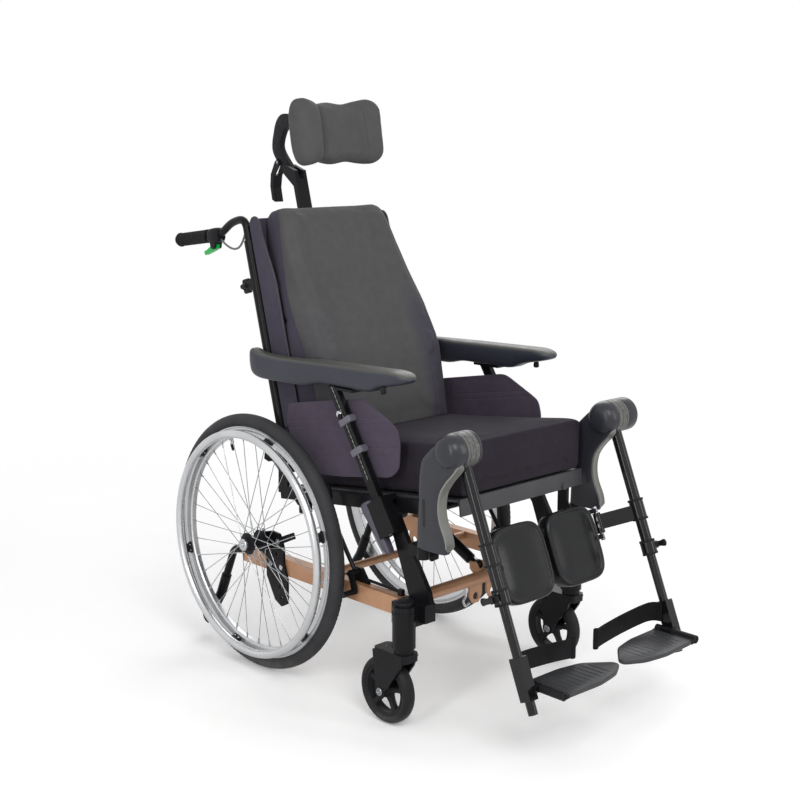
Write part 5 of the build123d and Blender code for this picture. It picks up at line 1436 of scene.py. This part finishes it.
def leg_fittings():
    """Wing knob, tube collars and bolt heads of the legrest."""
    wing = [turned(rounded([(0, 0.4), (0, 7), (6, 8.5), (14, 8.5), (16, 7), (16, 0.4)], 1.2, 3,
                           closed=False), (260, 0, -302), (1, 0, 0), 28, place=on_leg)]
    for way in (-1, 1):
        blade = [(way * 3, -306), (way * 22, -311), (way * 26, -302), (way * 22, -293), (way * 3, -298)]
        wing.append(slab(blade, 274, 280, 2.0, from_side(on_leg), corner=5))
    collar = [turned(rounded([(0, 12.8), (0, 17.6), (5, 17.6), (5, 12.8)], 1.4, 4), (244, 0, s),
                     (0, 0, 1), 48, ring=True, place=on_leg) for s in (-240, -197, -319.5, -291)]
    heads = [turned(rounded([(0, 0.4), (0, 5.5), (2.4, 5.0), (3.2, 2.6), (2.0, 2.2), (2.0, 0.4)], 0.4, 3,
                            closed=False), (x, y, s), axis, 24, place=on_leg)
             for x, y, s, axis in ((176, 61.5, -214, (0, 1, 0)), (176, 61.5, -229, (0, 1, 0)),
                                   (198, 54, -221, (0, 1, 0)))]
    return wing, collar, heads


def build_legs():
    """Calf pads, footplates, heel straps and the fittings of the leg tubes."""
    pad, mount, (wing, collar, heads) = [calf_pad_form()], calf_pad_mount(), leg_fittings()
    plate, blocks, pin = footplate_form()
    band = heel_band()
    for side, word in SIDES:
        made = piece("calf_pad_skin_" + word, mirrored(pad, side), "Calf skin", "calf_pad_" + word,
                     ["calf_pad_" + word], angle=60)
        piece("calf_pad_mount_" + word, mirrored(mount, side), ["Black coat", "Drawn steel"],
              "calf_pad_" + word, indices=[0, 0, 1])
        piece("footplate_tread_" + word, mirrored(plate + blocks + pin, side),
              ["Footplate plastic", "Black moulding", "Drawn steel"], "footplate_" + word,
              ["footplate_" + word], indices=[0] * len(plate) + [1] * len(blocks) + [2])
        piece("heel_band_" + word, mirrored(band, side), "Webbing", "lower_leg_" + word,
              ["heel_strap_" + word])
        piece("leg_wing_knob_" + word, mirrored(wing, side), "Black moulding", "legrest_" + word)
        piece("leg_collars_" + word, mirrored(collar + heads, side), ["Black moulding", "Drawn steel"],
              "legrest_" + word, indices=[0] * len(collar) + [1] * len(heads))
        dress("Gloss coat", "leg_tube_" + word)
        dress("Gloss coat", "lower_leg_" + word)


# ------------------------------------------------------------------ push handles
def handle_tube():
    """Round tube along straight runs joined by curved bends, from the back post to the grip."""
    low, bend = drawing(on_back(200, 0, np.array([331.0, 592.0])))
    path = rounded([low, bend, (200, 166, 1044), (200, 214, 1011), (200, 380, 989.8)], 24, 9, closed=False)
    return tube(path, 9.4, 28)


def handle_grip():
    """Grip turned about the handle's axis: a cosine of the way along gives its ribs."""
    run = np.linspace(0, 125, 120)
    ribs = 15.7 + 0.75 * np.cos(run * 2 * pi / 8.4) + 1.2 * np.exp(-((run - 119) / 4)**2)
    ribs = np.where(run < 6, 15.5 + 1.6 * np.cos((run / 6) * pi / 2), ribs)
    profile = [(0, 9.6), (0, 14.5), *zip(run[2:-3], ribs[2:-3]), (124.4, 14.6), (125.4, 9), (125.6, 0.5)]
    return turned(profile, (200, 261, 1005), (0, 124, -15.9), 56)


def handle_housing():
    """Trigger housing: squircle sections along the handle, with two cheeks below it."""
    y = np.array([210.5, 212, 217, 226, 238, 247, 251.5, 253.0])
    half_x = np.array([9, 13, 16, 17, 17, 16.4, 14, 10.0])
    half_z = np.array([11, 15, 18, 18.8, 18.4, 17.4, 15, 11.0])
    middle = np.stack([0 * y + 200, 1010 - 0.11 * (y - 212), y], -1)
    shells = [lofted(middle, half_x, half_z, 3.4, from_front(at), 44)]
    for low, high in ((188.8, 194.4), (205.6, 211.2)):
        shells.append(slab([(221, 996), (245, 994), (243, 980), (236, 975), (226, 976)], low, high, 1.2,
                           from_side(at), corner=5))
    return shells


CABLE = np.array([(200, 213, 1000), (200, 186, 982), (200, 148, 978), (200, 124, 1000), (200, 112, 1030)])
CABLE_LENGTH, CABLE_THICK = 0.132, 0.0052


def handle_cable(word, side):
    """Thin cable from the housing, round below it and back into the tube: a second-degree spline whose
    control points are the route's."""
    route = at(side * CABLE[:, 0], CABLE[:, 1], CABLE[:, 2])
    line = bpy.data.curves.new("handle_cable_" + word, "CURVE")
    line.dimensions = "3D"
    line.bevel_depth, line.bevel_resolution, line.resolution_u = CABLE_THICK / 2, 4, 12
    line.use_fill_caps = True
    spline = line.splines.new("NURBS")
    spline.points.add(len(route) - 1)
    spline.points.foreach_set("co", np.hstack([route, np.ones((len(route), 1))]).ravel())
    spline.order_u, spline.use_endpoint_u = 3, True
    line.materials.append(bpy.data.materials["Cable sheath"])
    made = settle(placed("handle_cable_" + word, line), "push_handle_" + word)


def build_handles():
    """Push handles with ribbed grips, release triggers, cables and their clamping knobs."""
    for side, word in SIDES:
        body = "push_handle_" + word
        piece("handle_tube_" + word, mirrored([handle_tube()], side), "Black coat", body,
              ["push_handle_" + word])
        piece("handle_grip_" + word, mirrored([handle_grip()], side), "Grip rubber", body,
              angle=50)
        piece("handle_housing_" + word, mirrored(handle_housing(), side), "Black moulding", body)
        handle_cable(word, side)
        dress("Green plastic", "trigger_" + word)
        dress("Black moulding", "handle_knob_" + word)


# ------------------------------------------------------------------ frame
def bolt(spot, axis, radius=7.0, height=4.5, place=at):
    """Round-headed bolt with a washer and a socket."""
    r, h = radius, height
    shape = [(0, 0.4), (0, r * 1.35), (1.1, r * 1.35), (1.1, r), (h - 1.2, r), (h, r * 0.72),
             (h, r * 0.42), (h - 1.8, r * 0.36), (h - 1.8, 0.4)]
    return turned(rounded(shape, 0.4, 3, closed=False), spot, axis, 28, place=place)


def build_frame():
    """Finishes of the chassis, seat and back frames, the struts, and their bolts and plugs."""
    dress("Bronze coat", "side_rails", "crossbars")
    dress("Black coat", "front_struts", "castor_housings", "rail_brackets", "seat_frame", "back_frame",
          "tilt_strut_cylinder", "recline_strut_cylinder")
    dress("Black coat", "anti_tipper_left", "anti_tipper_right", "wheel_lock_left", "wheel_lock_right")
    dress("Polished metal", "chassis_hardware")
    dress("Drawn steel", "tilt_strut_rod", "recline_strut_rod")
    dress("Apron vinyl", "seat_pan")
    chassis = [bolt((231, -415, 450), (1, 0, 0), 9, 5), bolt((231.0, -500, 268), (1, 0, 0), 6)]
    chassis += [bolt((253, y, z), (1, 0, 0), 5.5, 4) for y, z in ((-52, 312), (0, 326))]
    seat = [bolt((218, -32, 480), (1, 0, 0), 8, 5), bolt((218, -526, 432), (1, 0, 0), 5.5, 4),
            bolt((218, -526, 462), (1, 0, 0), 5.5, 4)]
    plugs = [turned(rounded([(0, 0.4), (0, 22), (3, 20), (5, 10), (5, 0.4)], 1.5, 3, closed=False),
                    (277, -503, 282), (0, 0, 1), 36)]
    for side, word in SIDES:
        piece("chassis_bolts_" + word, mirrored(chassis, side), "Drawn steel", "chassis")
        piece("seat_bolts_" + word, mirrored(seat, side), "Drawn steel", "seat")
        piece("castor_housing_plug_" + word, mirrored(plugs, side), "Black moulding", "chassis")


# ------------------------------------------------------------------ studio
def stage_plane(name, outline, material):
    """A flat sheet of the studio."""
    mesh = bpy.data.meshes.new(name)
    mesh.from_pydata(outline, [], [tuple(range(len(outline)))])
    mesh.materials.append(material)
    placed(name, mesh)


def floor_finish():
    """Pale matt floor that turns see-through towards its rim, as the power 1.5 of a
    straight fade."""
    material = bpy.data.materials.new("Studio floor")
    material.use_nodes = True
    nodes = Nodes(material.node_tree)
    shader = material.node_tree.nodes["Principled BSDF"]
    shader.inputs["Roughness"].default_value = 0.85
    shader.inputs["Specular IOR Level"].default_value = 0.15
    place = nodes.place()
    tone = nodes.mix(nodes.range(nodes.noise(place, 3.0), 0.3, 0.7, 0, 1), (0.955, 0.955, 0.955, 1),
                     (0.97, 0.97, 0.968, 1))
    material.node_tree.links.new(tone, shader.inputs["Base Color"])
    shader.inputs["Emission Color"].default_value = (1, 1, 1, 1)
    seen = nodes.add("LightPath").outputs["Is Camera Ray"]
    material.node_tree.links.new(nodes.math("MULTIPLY", seen, 0.13), shader.inputs["Emission Strength"])
    reach = nodes.add("VectorMath", {0: place}, operation="LENGTH").outputs["Value"]
    fade = nodes.range(reach, 0.8, 3.0, 1.0, 0.0)
    material.node_tree.links.new(nodes.math("POWER", fade, 1.5), shader.inputs["Alpha"])
    return material


def studio_world(strength):
    """White for what the camera sees and for reflections, and an even pale light for everything else."""
    world = bpy.data.worlds.new("Studio")
    bpy.context.scene.world = world
    world.use_nodes = True
    nodes = Nodes(world.node_tree)
    path = nodes.add("LightPath").outputs
    seen = nodes.math("MAXIMUM", nodes.math("MAXIMUM", path["Is Camera Ray"], path["Is Glossy Ray"]),
                      path["Is Transmission Ray"])
    background = world.node_tree.nodes["Background"]
    background.inputs["Color"].default_value = (1, 1, 1, 1)
    world.node_tree.links.new(nodes.range(seen, 0.0, 1.0, strength, 1.0), background.inputs["Strength"])


def soft_lamp(name, place, target, wide, tall, power):
    """A rectangular area lamp turned to a target."""
    lamp = bpy.data.lights.new(name, "AREA")
    lamp.shape = "RECTANGLE"
    lamp.size, lamp.size_y, lamp.energy = wide, tall, power
    made = placed(name, lamp)
    made.location = place
    made.rotation_euler = (Vector(target) - Vector(place)).to_track_quat("-Z", "Y").to_euler()


def build_stage():
    """Floor, world, four soft lamps and the camera."""
    scene = bpy.context.scene
    scene.view_settings.view_transform = "Standard"
    t = np.linspace(0, 2 * pi, 64, endpoint=False)
    rim_line = np.stack([3.4 * np.cos(t), 3.4 * np.sin(t), 0 * t], -1)
    stage_plane("studio_floor", rim_line.tolist(), floor_finish())
    studio_world(0.62)
    middle = (0.0, 0.0, 0.6)
    soft_lamp("key_lamp", (-1.6, -2.8, 3.2), middle, 1.6, 1.6, 52)
    soft_lamp("strip_lamp_near", (-2.9, -1.0, 1.5), middle, 0.35, 2.4, 24)
    soft_lamp("strip_lamp_front", (1.0, -3.1, 1.7), middle, 0.35, 2.4, 20)
    soft_lamp("rim_lamp", (2.6, 1.8, 2.6), middle, 2.0, 2.0, 30)
    camera = bpy.data.cameras.new("camera")
    camera.lens, camera.sensor_width = 61.46, 36.0
    camera.clip_end = 50.0
    made = placed("camera", camera)
    spot = Vector(at(-2176.2, -2472.3, 1242.9))
    aim = Vector(at(0.0, -201.98, 636.30))
    made.location = spot
    made.rotation_euler = (aim - spot).to_track_quat("-Z", "Y").to_euler()
    scene.camera = made


# ------------------------------------------------------------------ operators and panel
class CHAIR_OT_finishes(bpy.types.Operator):
    """Makes every material of the chair"""

    bl_idname = "chair.finishes"
    bl_label = "Finishes"

    def execute(self, context):
        make_finishes()
        return {"FINISHED"}


class CHAIR_OT_frame(bpy.types.Operator):
    """Finishes the chassis, seat and back frames and adds their bolts"""

    bl_idname = "chair.frame"
    bl_label = "Frame"

    def execute(self, context):
        build_frame()
        return {"FINISHED"}


class CHAIR_OT_rear_wheels(bpy.types.Operator):
    """Builds both rear wheels with tyres, rims, spokes and handrims"""

    bl_idname = "chair.rear_wheels"
    bl_label = "Rear wheels"

    def execute(self, context):
        build_rear_wheels()
        return {"FINISHED"}


class CHAIR_OT_castors(bpy.types.Operator):
    """Builds both castors"""

    bl_idname = "chair.castors"
    bl_label = "Castors"

    def execute(self, context):
        build_castors()
        return {"FINISHED"}


class CHAIR_OT_seat_cushion(bpy.types.Operator):
    """Builds and fills the seat cushion"""

    bl_idname = "chair.seat_cushion"
    bl_label = "Seat cushion"

    def execute(self, context):
        build_seat_cushion()
        return {"FINISHED"}


class CHAIR_OT_back_cushion(bpy.types.Operator):
    """Builds and fills the back cushion"""

    bl_idname = "chair.back_cushion"
    bl_label = "Back cushion"

    def execute(self, context):
        build_back_cushion()
        return {"FINISHED"}


class CHAIR_OT_back_cover(bpy.types.Operator):
    """Builds the cover and straps of the back"""

    bl_idname = "chair.back_cover"
    bl_label = "Back cover"

    def execute(self, context):
        build_back_cover()
        return {"FINISHED"}


class CHAIR_OT_headrest(bpy.types.Operator):
    """Builds and fills the headrest and finishes its arm"""

    bl_idname = "chair.headrest"
    bl_label = "Headrest"

    def execute(self, context):
        build_headrest()
        return {"FINISHED"}


class CHAIR_OT_arms(bpy.types.Operator):
    """Builds arm pads, side panels and post fittings"""

    bl_idname = "chair.arms"
    bl_label = "Arms"

    def execute(self, context):
        build_arms()
        return {"FINISHED"}


class CHAIR_OT_hangers(bpy.types.Operator):
    """Builds the leg hangers and knees"""

    bl_idname = "chair.hangers"
    bl_label = "Leg hangers"

    def execute(self, context):
        build_hangers()
        return {"FINISHED"}


class CHAIR_OT_legs(bpy.types.Operator):
    """Builds calf pads, footplates and heel straps"""

    bl_idname = "chair.legs"
    bl_label = "Legrests"

    def execute(self, context):
        build_legs()
        return {"FINISHED"}


class CHAIR_OT_handles(bpy.types.Operator):
    """Builds the push handles"""

    bl_idname = "chair.handles"
    bl_label = "Push handles"

    def execute(self, context):
        build_handles()
        return {"FINISHED"}


class CHAIR_OT_stage(bpy.types.Operator):
    """Builds the studio: floor, light and camera"""

    bl_idname = "chair.stage"
    bl_label = "Stage"

    def execute(self, context):
        build_stage()
        return {"FINISHED"}


STEPS = (CHAIR_OT_finishes, CHAIR_OT_frame, CHAIR_OT_rear_wheels, CHAIR_OT_castors,
         CHAIR_OT_seat_cushion, CHAIR_OT_back_cushion, CHAIR_OT_back_cover, CHAIR_OT_headrest,
         CHAIR_OT_arms, CHAIR_OT_hangers, CHAIR_OT_legs, CHAIR_OT_handles, CHAIR_OT_stage)


class CHAIR_PT_panel(bpy.types.Panel):
    """Sizes, colours and builders of the chair"""

    bl_idname = "CHAIR_PT_panel"
    bl_label = "Wheelchair"
    bl_space_type = "VIEW_3D"
    bl_region_type = "UI"
    bl_category = "Wheelchair"

    def draw(self, context):
        for group in settings():
            column = self.layout.column()
            for label in group.__annotations__:
                column.prop(group, label)
        for step in STEPS:
            self.layout.operator(step.bl_idname)


CLASSES = (ChairColours, ChairSizes, *STEPS, CHAIR_PT_panel)


def register():
    """Registers the classes and puts the settings on the scene."""
    for made in CLASSES:
        bpy.utils.register_class(made)
    bpy.types.Scene.chair_colours = bpy.props.PointerProperty(type=ChairColours, name="Chair colours")
    bpy.types.Scene.chair_sizes = bpy.props.PointerProperty(type=ChairSizes, name="Chair sizes")


def unregister():
    """Takes the settings and classes away again."""
    del bpy.types.Scene.chair_sizes
    del bpy.types.Scene.chair_colours
    for made in reversed(CLASSES):
        bpy.utils.unregister_class(made)


def main():
    """Builds everything in order."""
    register()
    for step in STEPS:
        group, name = step.bl_idname.split(".")
        getattr(getattr(bpy.ops, group), name)()


if __name__ == "__main__":
    main()
